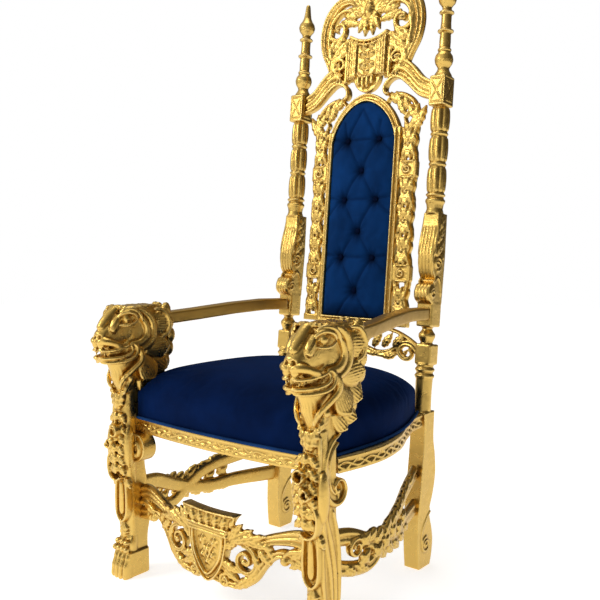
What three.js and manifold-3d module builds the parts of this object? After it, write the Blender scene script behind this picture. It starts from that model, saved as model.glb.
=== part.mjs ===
// A carved and gilded throne with lion-headed arm posts, a tall pierced back and a blue upholstered seat.
// Millimetres. +Z is up, the throne faces -Y, and it is the same on both sides of the plane x = 0.
// y = 0 is the line of the rear edge of the seat; the last line puts the origin under the middle.
import * as THREE from 'three';
import { mergeVertices } from 'three/addons/utils/BufferGeometryUtils.js';
import Module from 'manifold-3d';

const wasm = await Module();
wasm.setup();

// ---- Driving dimensions -------------------------------------------------------------------------
const GAP = 0.3;                    // between two pieces that touch
const SLIVER = 0.2;                 // facets thinner than this are merged into their neighbours
const CENTRE_Y = 208;               // moves the middle of the depth to y = 0

// seat
const RAIL_BOTTOM = 431;
const SEAT_TOP = 470;               // top of the rails, where the cushion rests
const RAIL_WIDTH = 34;
const SEAT_FRONT = -523;            // outside of the front rail at the legs
const SEAT_BACK = 44;
const SEAT_FRONT_HALF = 366;
const SEAT_REAR_HALF = 277;
const SEAT_SIDE_BOW = 52;           // how far the sides bow out between the legs
const SEAT_FRONT_BOW = 22;
const CUSHION_SIDE = 66;            // height of the cushion's upright edge
const CUSHION_CROWN = 86;           // and of its dome above that

// front legs, which rise into the lions
const LEG_X = 355.5;
const LEG_WIDTH = 55;
const LEG_FRONT = -547;
const LEG_BACK = -484;
const LEG_NECK_BACK = -491;         // behind the knee and up to the mane
const PAW_HEIGHT = 76;
const PAW_REACH = 585;              // how far the middle toes stand forward
const KNEE_HEIGHT = 405;
const LEG_TOP = 560;

// rear legs and posts
const POST_X = 274;
const STOCK = 54;                   // square stock of the rear posts
const POST_LEAN = Math.atan(0.102); // the posts and the whole back lean by this above the seat
const POST_AXIS_Y = 73.4;           // axis of the post at the height where the lean starts
const REAR_LEG_FRONT = 46;          // beside the seat rails
const POST_REAR = 32;               // from that axis to the back of the square stock
const ARM_BLOCK = [256, 332];       // heights above the seat top, along the leaning post
const CONSOLE_TOP = 601;
const CAP_BLOCK = [924, 1016];
const FINIAL_TOP = 1337;

// back
const ARCH_HALF = 143;              // outside of the arched moulding
const ARCH_SPRING = 834;
const ARCH_RISE = 164;
const ARCH_POWER = 1.72;            // below 2 the arch comes to a soft point
const MOULDING = 22;
const BACK_BOTTOM = 247;
const FRET_HALF = 204;
const BOARD = 24;                   // thickness of the carved boards of the back
const BOARD_FRONT = -8;             // their front face, from the axes of the posts
const BOARD_MIDDLE = BOARD_FRONT + BOARD / 2;

const RIGHT = 1;
const LEFT = -1;

// ---- Materials ----------------------------------------------------------------------------------
const gold = new THREE.MeshStandardMaterial({ color: 0xc9962e, roughness: 0.35, metalness: 0.6 });
const velvet = new THREE.MeshStandardMaterial({ color: 0x0b2350, roughness: 0.85, metalness: 0 });

// ---- Solids -------------------------------------------------------------------------------------
// The positions of a geometry alone, with shared corners merged.
function bare(geometry) {
  const copy = geometry.clone();
  for (const attribute of Object.keys(copy.attributes)) {
    if (attribute !== 'position') copy.deleteAttribute(attribute);
  }
  return mergeVertices(copy, 1e-4);
}

// Turns the faces of an indexed geometry out, by the sign of its volume.
function facingOut(geometry) {
  const corners = geometry.index.array;
  const corner = (k) => new THREE.Vector3().fromBufferAttribute(geometry.attributes.position, corners[k]);
  let volume = 0;
  for (let i = 0; i < corners.length; i += 3) {
    volume += corner(i).dot(corner(i + 1).cross(corner(i + 2)));
  }
  if (volume < 0) {
    for (let i = 0; i < corners.length; i += 3) {
      [corners[i], corners[i + 1]] = [corners[i + 1], corners[i]];
    }
  }
  return geometry;
}

// One closed solid of a three.js geometry.
function solidOf(geometry) {
  const { attributes, index } = facingOut(bare(geometry));
  return new wasm.Manifold(new wasm.Mesh({
    numProp: 3,
    vertProperties: Float32Array.from(attributes.position.array),
    triVerts: Uint32Array.from(index.array),
  }));
}

function geometryOf(solid) {
  const { vertProperties, triVerts } = solid.getMesh();
  const geometry = new THREE.BufferGeometry();
  geometry.setAttribute('position', new THREE.BufferAttribute(vertProperties, 3));
  geometry.setIndex(new THREE.BufferAttribute(triVerts, 1));
  return geometry;
}

// Joins forms into one solid and drops the slivers where they cross.
function fuse(geometries) {
  let whole = solidOf(geometries[0]);
  for (const geometry of geometries.slice(1)) whole = whole.add(solidOf(geometry));
  return geometryOf(whole.simplify(SLIVER));
}

function cut(geometry, tools) {
  let rest = solidOf(geometry);
  for (const tool of tools) rest = rest.subtract(solidOf(tool));
  return geometryOf(rest);
}

// Moves every vertex of a geometry by a rule (x, y, z) -> [x, y, z].
function shaped(geometry, rule) {
  const points = geometry.attributes.position;
  for (let i = 0; i < points.count; i += 1) {
    points.setXYZ(i, ...rule(points.getX(i), points.getY(i), points.getZ(i)));
  }
  return geometry;
}

// The same form on the other side of x = 0.
const mirrored = (geometry) => facingOut(bare(geometry).scale(-1, 1, 1));

const withMirror = (list) => list.concat(list.map(mirrored));

// ---- Basic forms --------------------------------------------------------------------------------
function block(x0, x1, y0, y1, z0, z1) {
  return new THREE.BoxGeometry(x1 - x0, y1 - y0, z1 - z0)
    .translate((x0 + x1) / 2, (y0 + y1) / 2, (z0 + z1) / 2);
}

// A board that stands across the throne: an outline in x and z, from y = front back to y = front + depth.
function board(outline, front, depth, curveSegments = 6) {
  return new THREE.ExtrudeGeometry(outline, { depth, bevelEnabled: false, curveSegments })
    .rotateX(Math.PI / 2)
    .translate(0, front + depth, 0);
}

// A board that stands along the throne: an outline in y and z, as thick as the range x0 to x1.
function sideBoard(outline, x0, x1, curveSegments = 6) {
  return new THREE.ExtrudeGeometry(outline, { depth: x1 - x0, bevelEnabled: false, curveSegments })
    .rotateX(Math.PI / 2)
    .rotateZ(Math.PI / 2)
    .translate(x0, 0, 0);
}

function outlineOf(points) {
  return new THREE.Shape(points.map(([a, b]) => new THREE.Vector2(a, b)));
}

// A turned form about the z axis, from [radius, height] pairs that start and end on the axis.
function turned(profile, sides) {
  return new THREE.LatheGeometry(profile.map(([r, h]) => new THREE.Vector2(r, h)), sides)
    .rotateX(Math.PI / 2);
}

// An ellipsoid with few faces.
function lump(x, y, z, rx, ry, rz, around = 5, down = 3) {
  return new THREE.SphereGeometry(1, around, down).rotateX(Math.PI / 2).scale(rx, ry, rz).translate(x, y, z);
}

// A carved stem along a curve in a plane of constant y: points are [x, z], the width runs from first
// to last through the middle value. Four sides make a flat strap, other counts a round or ridged one.
function stem(points, y, widths, depth, steps = 8, sides = 4) {
  const curve = new THREE.CatmullRomCurve3(points.map(([x, z]) => new THREE.Vector3(x, 0, z)));
  const [first, middle, last] = widths;
  return shaped(new THREE.CylinderGeometry(1, 1, 1, sides, steps), (a, along, b) => {
    const t = along + 0.5;
    const at = curve.getPointAt(t);
    const way = curve.getTangentAt(t);
    const width = first * (1 - t) ** 2 + 2 * middle * t * (1 - t) + last * t ** 2;
    const [p, q] = sides === 4 ? [a + b, b - a] : [a, b];
    return [at.x - way.z * p * width / 2, y + q * depth / 2, at.z + way.x * p * width / 2];
  });
}

// Points of a spiral in x and z about a centre; angles in turns, anticlockwise from +x.
function spiral([x, z], radius0, radius1, turn0, turn1, count = 7) {
  return Array.from({ length: count }, (_, i) => {
    const t = i / (count - 1);
    const angle = 2 * Math.PI * (turn0 + (turn1 - turn0) * t);
    const radius = radius0 + (radius1 - radius0) * t;
    return [x + radius * Math.cos(angle), z + radius * Math.sin(angle)];
  });
}

// A leaf: a pointed lobe with a ridge down its middle, from its root to its tip, both [x, z].
function leaf([x0, z0], [x1, z1], width, y, depth) {
  const length = Math.hypot(x1 - x0, z1 - z0);
  const lift = Math.atan2(z1 - z0, x1 - x0);
  return new THREE.SphereGeometry(1, 4, 3)
    .rotateZ(Math.PI / 2)
    .scale(length / 2, width / 2, depth / 2)
    .rotateX(Math.PI / 2)
    .rotateY(-lift)
    .translate((x0 + x1) / 2, y, (z0 + z1) / 2);
}

// Turns a form made across the throne (in x and z) to lie along it (in y and z), at the given x.
function turnedAlong(geometry, x) {
  return geometry.rotateZ(Math.PI / 2).translate(x, 0, 0);
}

// Smooth value at z from a short list of [z, value] stations.
function through(stations, z) {
  let i = 0;
  while (i < stations.length - 2 && z > stations[i + 1][0]) i += 1;
  const [z0, v0] = stations[i];
  const [z1, v1] = stations[i + 1];
  const t = THREE.MathUtils.smoothstep(z, z0, z1);
  return v0 + (v1 - v0) * t;
}

// A form that rises along z with an oval section: half widths, front and back come from stations.
function risen(z0, z1, halfWidth, front, back, steps, sides, squareness = 1) {
  return shaped(new THREE.CylinderGeometry(1, 1, 1, sides, steps).rotateX(Math.PI / 2), (a, b, up) => {
    const z = z0 + (z1 - z0) * (up + 0.5);
    const full = Math.max(Math.abs(a), Math.abs(b), 1e-6) ** (1 - squareness);
    const middle = (through(front, z) + through(back, z)) / 2;
    const reach = (through(back, z) - through(front, z)) / 2;
    return [a / full * through(halfWidth, z), middle + b / full * reach, z];
  });
}

// ---- Front leg with its lion --------------------------------------------------------------------
// All of it is carved from one block; x is measured from the middle of the leg.
const toward = (side, geometry) => (side === RIGHT ? geometry : mirrored(geometry));

function legPost() {
  const back = [[0, LEG_BACK], [100, -483], [180, -470], [270, -483], [340, LEG_NECK_BACK],
    [LEG_TOP, LEG_NECK_BACK]];
  const outline = outlineOf([
    [LEG_FRONT, 2], ...back.map(([z, y]) => [y, Math.max(z, 0)]), [LEG_FRONT, LEG_TOP],
  ]);
  return sideBoard(outline, -LEG_WIDTH / 2, LEG_WIDTH / 2);
}

function legCarving() {
  const half = [[60, 32], [130, 29], [250, 29], [KNEE_HEIGHT, 45], [500, 35], [545, 31]];
  const front = [[60, -560], [200, -553], [KNEE_HEIGHT, -594], [500, -572], [545, -568]];
  const back = [[60, -530], [545, -530]];
  const parts = [risen(60, 545, half, front, back, 5, 6)];
  const kneeFront = through(front, KNEE_HEIGHT);
  for (const side of [LEFT, RIGHT]) parts.push(lump(side * 40, kneeFront + 18, 392, 15, 17, 76));
  parts.push(lump(0, through(front, 300) + 3, 300, 30, 10, 30, 6, 3));
  parts.push(leaf([0, 282], [0, 124], 36, -553, 24));
  return parts;
}

function paw() {
  const toes = [-34, -17, 0, 17, 34];
  const plan = new THREE.Shape();
  plan.moveTo(-34, -484);
  plan.lineTo(-34, -560);
  for (let i = 1; i < toes.length; i += 1) {
    const middle = (toes[i - 1] + toes[i]) / 2;
    const front = -PAW_REACH + Math.abs(middle) * 0.16;
    plan.lineTo(middle - 5, front);
    plan.lineTo(middle + 5, front);
    plan.lineTo(toes[i], -562);
  }
  plan.lineTo(34, -484);
  const foot = shaped(
    new THREE.ExtrudeGeometry(plan, { depth: PAW_HEIGHT, steps: 2, bevelEnabled: false }),
    (x, y, z) => (z > PAW_HEIGHT - 1 && y < -563 ? [x, -563, z] : [x, y, z]),
  );
  return [foot, block(-31, 31, -565, -530, 84, 98)];
}

// Round ears under the seat rails: one toward the middle of the throne, one toward its back.
const EAR_RADIUS = 42;
const EAR_Z = 386;

function legEars(side) {
  const ear = new THREE.Shape();
  ear.absarc(0, 0, EAR_RADIUS, -Math.PI, 0, false);
  ear.lineTo(EAR_RADIUS, 0);
  ear.absarc(0, 0, EAR_RADIUS, 0, Math.PI / 2, false);
  ear.lineTo(-EAR_RADIUS, EAR_RADIUS);
  const inward = board(ear, -541, 46, 3).translate(LEG_WIDTH / 2 + 10, 0, EAR_Z);
  const backward = sideBoard(ear, -21, 22, 3).translate(0, -505, EAR_Z);
  const sweep = turnedAlong(stem([[-492, 520], [-520, 470], [-541, 420], [-537, 365], [-505, 338]],
    0, [10, 14, 10], 12, 4), LEG_WIDTH / 2);
  return side === RIGHT ? [mirrored(inward), backward, sweep] : [inward, backward, mirrored(sweep)];
}

function lionHead() {
  const half = [[500, 28], [560, 34], [640, 44], [730, 53], [770, 50], [800, 28]];
  const front = [[500, -566], [545, -572], [620, -602], [700, -585], [760, -575], [800, -548]];
  const back = [[500, -486], [560, -470], [640, -440], [730, -430], [775, -440], [800, -478]];
  const parts = [risen(500, 800, half, front, back, 5, 8)];
  // muzzle, upper lip and lower jaw, narrower toward the front
  const muzzle = outlineOf([
    [-560, 784], [-590, 762], [-624, 742], [-634, 726], [-630, 710], [-641, 698], [-636, 680],
    [-600, 677], [-560, 677],
  ]);
  const jaw = outlineOf([[-560, 667], [-600, 666], [-630, 666], [-634, 652], [-614, 641], [-565, 632]]);
  const snout = (outline, half0) => shaped(
    new THREE.ExtrudeGeometry(outline, { depth: 2, steps: 2, bevelEnabled: false })
      .rotateX(Math.PI / 2).rotateZ(Math.PI / 2),
    (x, y, z) => {
      const across = x - 1;
      const cheek = half0 * (1 - 0.3 * THREE.MathUtils.smoothstep(-y, 575, 640) - (z > 730 ? 0.25 : 0));
      const round = Math.abs(across) > 0.5 ? 0.88 : 1;
      return [across * cheek, -560 + (y + 560) * round, 700 + (z - 700) * round];
    },
  );
  parts.push(snout(muzzle, 42));
  parts.push(snout(jaw, 38));
  parts.push(block(-17, 17, -641, -620, 713, 732));
  for (const side of [LEFT, RIGHT]) {
    parts.push(lump(side * 19, -616, 696, 20, 27, 15));
    parts.push(lump(side * 33, -572, 757, 11, 11, 11));
    const ridge = stem([[-556, 783], [-528, 780], [-505, 750], [-510, 700], [-545, 664], [-576, 654]],
      0, [10, 20, 10], 22, 5);
    parts.push(turnedAlong(ridge, side * 44));
  }
  return parts;
}

// Locks of the mane, each over the one below, down the back of the head.
const MANE_HALF = [[530, 38], [620, 48], [720, 57], [800, 46]];

function mane() {
  const locks = [[-446, 796], [-416, 770], [-430, 744], [-402, 714], [-424, 688], [-408, 660], [-436, 634],
    [-430, 606], [-452, 584], [-452, 560], [-480, 536], [-492, 530]];
  const outline = outlineOf([[-530, 560], [-530, 800], ...locks]);
  return shaped(sideBoard(outline, -1, 1), (x, y, z) => [x * through(MANE_HALF, z), y, z]);
}

function frontLeg(side) {
  const parts = [legPost(), ...legCarving(), ...paw(), ...lionHead(), mane(), ...legEars(side)];
  return fuse(parts).translate(side * LEG_X, 0, 0);
}

// ---- Rear leg and post --------------------------------------------------------------------------
// The leg below the seat is sawn with an S in its back edge; the post above leans back.
function rearLegBoard() {
  const front = [[0, 20], [70, 14], [157, 15], [200, 20], [280, 32], [390, REAR_LEG_FRONT], [SEAT_TOP, REAR_LEG_FRONT]];
  const back = [[SEAT_TOP, 103], [390, 99], [340, 108], [280, 112], [225, 100], [178, 80], [157, 77],
    [120, 90], [75, 98], [30, 92], [0, 82]];
  const outline = outlineOf([...front, ...back].map(([z, y]) => [y, z]));
  return sideBoard(outline, -STOCK / 2, STOCK / 2);
}

function rearLeg() {
  const knob = turnedAlong(board(new THREE.Shape().absarc(82, 168, 11, 0, 2 * Math.PI), -20, 40, 8), 0);
  return [rearLegBoard(), knob];
}

// Reeds around a turned segment, from height h0 to h1, bulging in the middle and round at its ends.
function reededSegment(h0, h1, radius) {
  const sides = 10;
  const steps = 2;
  return shaped(new THREE.CylinderGeometry(1, 1, 1, sides, steps).rotateX(Math.PI / 2), (a, b, up) => {
    const t = up + 0.5;
    const row = Math.round((Math.atan2(b, a) / (2 * Math.PI) + 0.25) * sides);
    const reed = row % 2 === 0 ? 1 : 0.86;
    const swell = 0.78 + 0.22 * Math.sin(Math.PI * (0.12 + 0.76 * t)) ** 0.6;
    return [a * radius * reed * swell, b * radius * reed * swell, h0 + (h1 - h0) * t];
  });
}

// The post above the seat, standing upright here; heights are from the seat top and y from its axis.
function postAboveSeat() {
  const half = STOCK / 2;
  const [arm0, arm1] = ARM_BLOCK;
  const [cap0, cap1] = CAP_BLOCK;
  const column = turned([[0, -6], [27, -6], [27, 104], [30, 116], [27, 128], [27, 143], [0, 143]], 6);
  const lowBlock = block(-half, half, -22, POST_REAR - 2, 142, 204);
  const baluster = turned([[0, 203], [17, 203], [25, 230], [16, 257], [0, 257]], 7);
  const armBlock = block(-half, half, -26, POST_REAR, arm0, arm1);
  const scrolled = outlineOf([
    [-26, arm1 - 8], [-44, 340], [-49, 358], [-42, 378], [-24, 388], [-12, 396], [-28, 420], [-37, 450],
    [-36, 480], [-29, 515], [-20, 560], [-19, CONSOLE_TOP], [POST_REAR + 2, CONSOLE_TOP],
    [POST_REAR + 5, 470], [POST_REAR, arm1 - 8],
  ]);
  const bracket = sideBoard(scrolled, -half, half);
  const volute = stem(spiral([-4, 452], 20, 6, 0.7, 1.7, 8), 0, [8, 7, 5], 9, 6, 3);
  const frond = leaf([-14, 484], [14, 570], 26, 0, 12);
  const outer = [volute, frond].map((form) => turnedAlong(form, half));
  const rings = turned([[0, 600], [27, 600], [27, 633], [30, 645], [26, 658], [0, 658]], 6);
  const reeded = [[658, 748], [748, 836], [836, cap0 + 1]].map(([h0, h1]) => reededSegment(h0, h1, 30));
  const cap = block(-28, 28, -34, 28, cap0, cap1);
  const finial = turned([
    [0, cap1 - 1], [26, cap1 - 1], [17, cap1 + 26], [28, cap1 + 52], [17, cap1 + 80], [17, 1145],
    [24, 1154], [16, 1162], [15, 1203], [22, 1211], [15, 1219], [27, 1254], [14, 1282],
    [7, FINIAL_TOP], [0, FINIAL_TOP],
  ], 7);
  return [column, lowBlock, baluster, armBlock, bracket, ...outer, rings, ...reeded, cap, finial];
}

function rearPost(side) {
  const above = postAboveSeat().map((form) => form
    .rotateX(-POST_LEAN)
    .translate(0, POST_AXIS_Y, SEAT_TOP));
  const post = fuse([...rearLeg(), ...above]);
  return toward(side, post).translate(side * POST_X, 0, 0);
}

// ---- Arms and seat rails ------------------------------------------------------------------------
// A bar of square section along a curve in space, level across.
function bar(points, width, height, steps) {
  const curve = new THREE.CatmullRomCurve3(points.map((p) => new THREE.Vector3(...p)));
  return shaped(new THREE.BoxGeometry(1, 1, 1, 1, steps, 1), (a, along, b) => {
    const t = along + 0.5;
    const at = curve.getPoint(t);
    const way = curve.getTangent(t);
    const flat = Math.hypot(way.x, way.y);
    return [at.x + way.y / flat * a * width, at.y - way.x / flat * a * width, at.z + b * height];
  });
}

const ARM_HEIGHT = 38;

function armrest(side) {
  const middle = [[348, -388], [332, -290], [305, -150], [285, -30], [POST_X, 100]];
  const heights = [752, 757, 767, 771, 766];
  const arm = bar(middle.map(([x, y], i) => [side * x, y, heights[i]]), 44, ARM_HEIGHT, 6);
  const post = block(-60, 60, -26 - GAP, 120, 200, 400)
    .rotateX(-POST_LEAN)
    .translate(side * POST_X, POST_AXIS_Y, SEAT_TOP);
  return cut(arm, [post]);
}

// Sweeps a section of [out, up] corners along a curve in plan; out is to the right of the way along.
function swept(points, section, steps, carve = () => 0) {
  const curve = new THREE.CatmullRomCurve3(points.map(([x, y]) => new THREE.Vector3(x, y, 0)));
  const count = section.length;
  const middle = section.reduce(([u, v], [p, q]) => [u + p / count, v + q / count], [0, 0]);
  return shaped(new THREE.CylinderGeometry(1, 1, 1, count, steps), (a, along, b) => {
    const t = along + 0.5;
    const at = curve.getPoint(t);
    const way = curve.getTangent(t);
    const corner = (Math.round(Math.atan2(a, b) / (2 * Math.PI) * count) + count) % count;
    const [out, up] = Math.hypot(a, b) < 0.5 ? middle : section[corner];
    const reach = out + carve(corner, t);
    return [at.x + way.y * reach, at.y - way.x * reach, up];
  });
}

// A moulded rail: a fillet at the top, a carved hollow with leaves in it, and a bead at the bottom.
const railSection = [
  [0, SEAT_TOP], [0, SEAT_TOP - 7], [-4, SEAT_TOP - 18], [0, RAIL_BOTTOM + 9], [1, RAIL_BOTTOM],
  [-RAIL_WIDTH, RAIL_BOTTOM], [-RAIL_WIDTH, SEAT_TOP],
];
const CARVED_CORNER = 2;
const leaves = (count) => (corner, t) => (corner === CARVED_CORNER
  ? 3.5 * Math.abs(Math.sin(Math.PI * t * count)) : 0);

function frontRail() {
  const end = LEG_X - LEG_WIDTH / 2 - GAP;
  const plan = [-1, -0.5, 0, 0.5, 1].map((u) => [u * end, SEAT_FRONT - SEAT_FRONT_BOW * (1 - u * u)]);
  return swept(plan, railSection, 12, leaves(6));
}

const sidePlan = [[380, -505], [399, -400], [402, -310], [380, -205], [337, -105], [306, -20], [297, 60]];

function sideRail(side) {
  const rail = cut(swept(sidePlan, railSection, 10, leaves(5)), [
    block(200, 450, -600, LEG_NECK_BACK + GAP, 400, 500),
    block(200, 450, REAR_LEG_FRONT - GAP, 100, 400, 500),
  ]);
  return toward(side, rail);
}

function rearRail() {
  const end = POST_X - STOCK / 2 - GAP;
  return block(-end, end, SEAT_BACK - 24, SEAT_BACK + 10, RAIL_BOTTOM, SEAT_TOP);
}

// ---- Upholstery ---------------------------------------------------------------------------------
function seatCushion() {
  const power = 3.6;
  const dome = shaped(new THREE.SphereGeometry(1, 24, 7).rotateX(Math.PI / 2), (a, b, c) => {
    const ring = Math.hypot(a, b);
    const big = Math.max(Math.abs(a), Math.abs(b), 1e-6);
    const reach = ring < 1e-6 ? 0 : ring ** 0.7;
    const across = ring < 1e-6 ? 0 : a / big * reach;
    const along = ring < 1e-6 ? 0 : b / big * reach;
    const t = (1 - along) / 2;
    const half = SEAT_REAR_HALF + (SEAT_FRONT_HALF - SEAT_REAR_HALF) * t + SEAT_SIDE_BOW * Math.sin(Math.PI * t);
    const front = SEAT_FRONT - SEAT_FRONT_BOW * (1 - across * across) + 7;
    const crown = Math.sqrt(Math.max((1 - Math.abs(across) ** power) * (1 - Math.abs(along) ** power), 0));
    const edge = Math.sqrt(Math.max(1 - Math.max(Math.abs(across), Math.abs(along)) ** 12, 0));
    const height = c > 0 ? CUSHION_SIDE * edge + CUSHION_CROWN * crown : 0;
    return [across * half, SEAT_BACK - 1 + (front - SEAT_BACK) * t, SEAT_TOP + GAP + height];
  });
  const notches = [LEFT, RIGHT].flatMap((side) => [
    block(-40, 60, -620, -462, SEAT_TOP - 10, 700),
    block(-70, 80, -620, -436, 540, 700),
  ].map((form) => toward(side, form.translate(LEG_X, 0, 0))));
  return cut(dome, notches);
}

// ---- Back, made upright here and leaned with the posts --------------------------------------------
const archHalf = (height, half, rise) => half
  * (1 - Math.max((height - ARCH_SPRING) / rise, 0) ** ARCH_POWER) ** (1 / ARCH_POWER);

// Corners of the arch, inset from the outside of its moulding.
function archPoints(inset, bottom, count = 7) {
  const half = ARCH_HALF - inset;
  const rise = ARCH_RISE - inset * 1.5;
  const right = Array.from({ length: count }, (_, i) => {
    const height = ARCH_SPRING + rise * Math.sin(Math.PI / 2 * i / (count - 1)) ** 1.25;
    return [archHalf(height, half, rise), height];
  });
  right[count - 1] = [0, ARCH_SPRING + rise];
  const left = right.slice(0, -1).reverse().map(([x, h]) => [-x, h]);
  return [[half, bottom], ...right, ...left, [-half, bottom]];
}

function ovalPoints(x, z, radiusX, radiusZ, count) {
  return Array.from({ length: count }, (_, i) => {
    const angle = 2 * Math.PI * i / count;
    return new THREE.Vector2(x + radiusX * Math.cos(angle), z + radiusZ * Math.sin(angle));
  });
}

function ringOf(outer, inner) {
  const ring = outlineOf(outer);
  ring.holes.push(new THREE.Path(inner.map(([a, b]) => new THREE.Vector2(a, b))));
  return ring;
}

function fretSide() {
  const middle = (ARCH_HALF + FRET_HALF) / 2;
  const swing = 22;
  const wave = (h0, h1, turns, sign) => Array.from({ length: 2 * turns + 1 }, (_, i) => {
    const t = i / (2 * turns);
    return [middle + sign * swing * Math.cos(Math.PI * turns * t), h0 + (h1 - h0) * t];
  });
  const parts = [];
  for (const [h0, h1, turns] of [[262, 388, 1], [440, 715, 3], [766, 872, 1]]) {
    for (const sign of [-1, 1]) {
      parts.push(stem(wave(h0, h1, turns, sign), BOARD_MIDDLE, [14, 14, 14], BOARD, 2 * turns + 1));
    }
  }
  for (const height of [385, 711]) {
    parts.push(block(ARCH_HALF - 3, FRET_HALF + 2, BOARD_FRONT, BOARD_FRONT + BOARD, height, height + 58));
  }
  // leaves that reach the post, and the scroll that follows the arch to its top
  parts.push(leaf([192, 862], [236, 940], 34, 2, 22));
  parts.push(stem([[170, 850], [196, 892], [176, 925], [150, 905]], BOARD_MIDDLE, [16, 14, 10], BOARD, 4));
  parts.push(stem([[206, 900], [176, 956], [126, 982], [92, 974], [78, 952]], BOARD_MIDDLE, [14, 16, 12], BOARD, 4));
  parts.push(leaf([112, 945], [90, 996], 24, 2, 20));
  return parts;
}

function backFrame() {
  const inner = archPoints(MOULDING, BACK_BOTTOM + MOULDING);
  const frame = board(ringOf(archPoints(0, BACK_BOTTOM), inner), BOARD_FRONT, BOARD);
  const bead = board(ringOf(archPoints(3, BACK_BOTTOM + 3), archPoints(14, BACK_BOTTOM + 14)), -16, 12);
  const foot = block(-FRET_HALF, FRET_HALF, BOARD_FRONT, BOARD_FRONT + BOARD, BACK_BOTTOM, BACK_BOTTOM + 20);
  return fuse([frame, bead, foot, ...withMirror(fretSide())]);
}

// The pad swells forward in the opening of the frame; the panel behind it is flat.
function padSolid() {
  const inset = 3;
  const [front, rear, dome] = [-2, 8, 20];
  const half = ARCH_HALF - MOULDING - inset;
  const rise = ARCH_RISE - (MOULDING + inset) * 1.5;
  const bottom = BACK_BOTTOM + MOULDING + inset;
  const arch = [0, 0.3, 0.55, 0.78, 0.93, 0.99].map((t) => ARCH_SPRING + rise * t);
  const rows = [bottom, bottom + 25, bottom + 80, ...arch];
  const count = rows.length - 1;
  return shaped(new THREE.CylinderGeometry(1, 1, 1, 8, count).rotateX(Math.PI / 2), (a, b, up) => {
    const row = Math.round((up + 0.5) * count);
    const width = archHalf(rows[row], half, rise);
    const lift = dome * Math.sin(Math.PI * (row + 0.15) / (count + 0.3)) ** 0.3;
    const square = Math.max(Math.abs(a), Math.abs(b), 1e-6) ** 0.4;
    return [a / square * width, b < -0.01 ? front - lift * -b : rear, rows[row]];
  });
}

function backPanel() {
  const inset = MOULDING + 2 * GAP;
  return board(outlineOf(archPoints(inset, BACK_BOTTOM + inset)), 9, 7);
}

// Reeded swan neck from the cap block up to the shield, on the right-hand side.
const CREST_END = POST_X - 28 - GAP;
const CREST_Y = -4;
const CREST_DEPTH = 30;

function swanNeck() {
  const flat = stem([[CREST_END + 6, 981], [206, 1000], [164, 1046], [120, 1062], [70, 1040]], 0,
    [62, 56, 52], 22, 5);
  const reeds = [
    [[CREST_END + 6, 1000], [207, 1020], [168, 1066], [122, 1084]],
    [[CREST_END + 6, 963], [200, 982], [152, 1022], [108, 1036], [80, 1022], [72, 1004]],
  ];
  return [flat, ...reeds.map((points) => stem(points, CREST_Y, [20, 20, 16], CREST_DEPTH, 5))];
}

function crestScroll() {
  const outer = stem([[138, 1056], [160, 1110], [181, 1160], [184, 1215], [168, 1272], [128, 1312],
    [78, 1314], [44, 1286]], CREST_Y, [30, 44, 26], CREST_DEPTH, 7);
  const hook = stem([[166, 1156], [168, 1208], [150, 1250], [116, 1256], [94, 1228], [108, 1196], [132, 1204]],
    CREST_Y, [20, 20, 14], CREST_DEPTH, 6);
  const volute = stem(spiral([112, 1096], 25, 9, 0.1, 1.1, 8), CREST_Y, [16, 14, 10], CREST_DEPTH, 4);
  const ground = board(outlineOf([[66, 1044], [138, 1052], [166, 1150], [128, 1180], [66, 1176]]), 0, 12);
  return [
    outer, hook, volute, ground,
    leaf([150, 1116], [70, 1190], 38, -2, 26),
    leaf([128, 1244], [34, 1222], 28, -6, 26),
  ];
}

const SHIELD_HALF = 76;
const SHIELD_TOP = 1190;
const SHIELD_LOW = 1040;            // where its round foot begins

function shield() {
  const outline = new THREE.Shape();
  outline.moveTo(-SHIELD_HALF, SHIELD_LOW);
  outline.absarc(0, SHIELD_LOW + 12, SHIELD_HALF - 24, Math.PI, 2 * Math.PI, false);
  outline.lineTo(SHIELD_HALF, SHIELD_LOW);
  outline.lineTo(SHIELD_HALF, SHIELD_TOP);
  outline.quadraticCurveTo(0, SHIELD_TOP - 48, -SHIELD_HALF, SHIELD_TOP);
  const parts = [board(outline, -14, 25, 4)];
  parts.push(...withMirror([block(SHIELD_HALF - 30, SHIELD_HALF - 4, -24, -10, SHIELD_LOW + 4, SHIELD_TOP - 22)]));
  for (const x of [-27, -9, 9, 27]) {
    parts.push(leaf([x, SHIELD_LOW + 8], [x * 0.9, SHIELD_LOW - 36 + Math.abs(x) * 0.5], 17, -14, 18));
  }
  parts.push(leaf([0, 1140], [0, 1056], 40, -14, 16));
  return parts;
}

function crestTop() {
  const parts = [lump(0, -6, 1250, 48, 18, 72, 6, 3)];
  for (const turn of [-62, -31, 0, 31, 62]) {
    const angle = THREE.MathUtils.degToRad(turn);
    parts.push(leaf([0, 1262], [105 * Math.sin(angle), 1262 + 122 * Math.cos(angle)], 44, -4, 26));
  }
  for (const x of [-14, 14]) parts.push(leaf([x, 1250], [x * 0.6, 1184], 30, -16, 20));
  return parts;
}

function crestRail() {
  const crest = fuse([...shield(), ...withMirror([...swanNeck(), ...crestScroll()]), ...crestTop()]);
  return cut(crest, withMirror([block(CREST_END, CREST_END + 60, -60, 60, 900, 1100)]));
}

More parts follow.
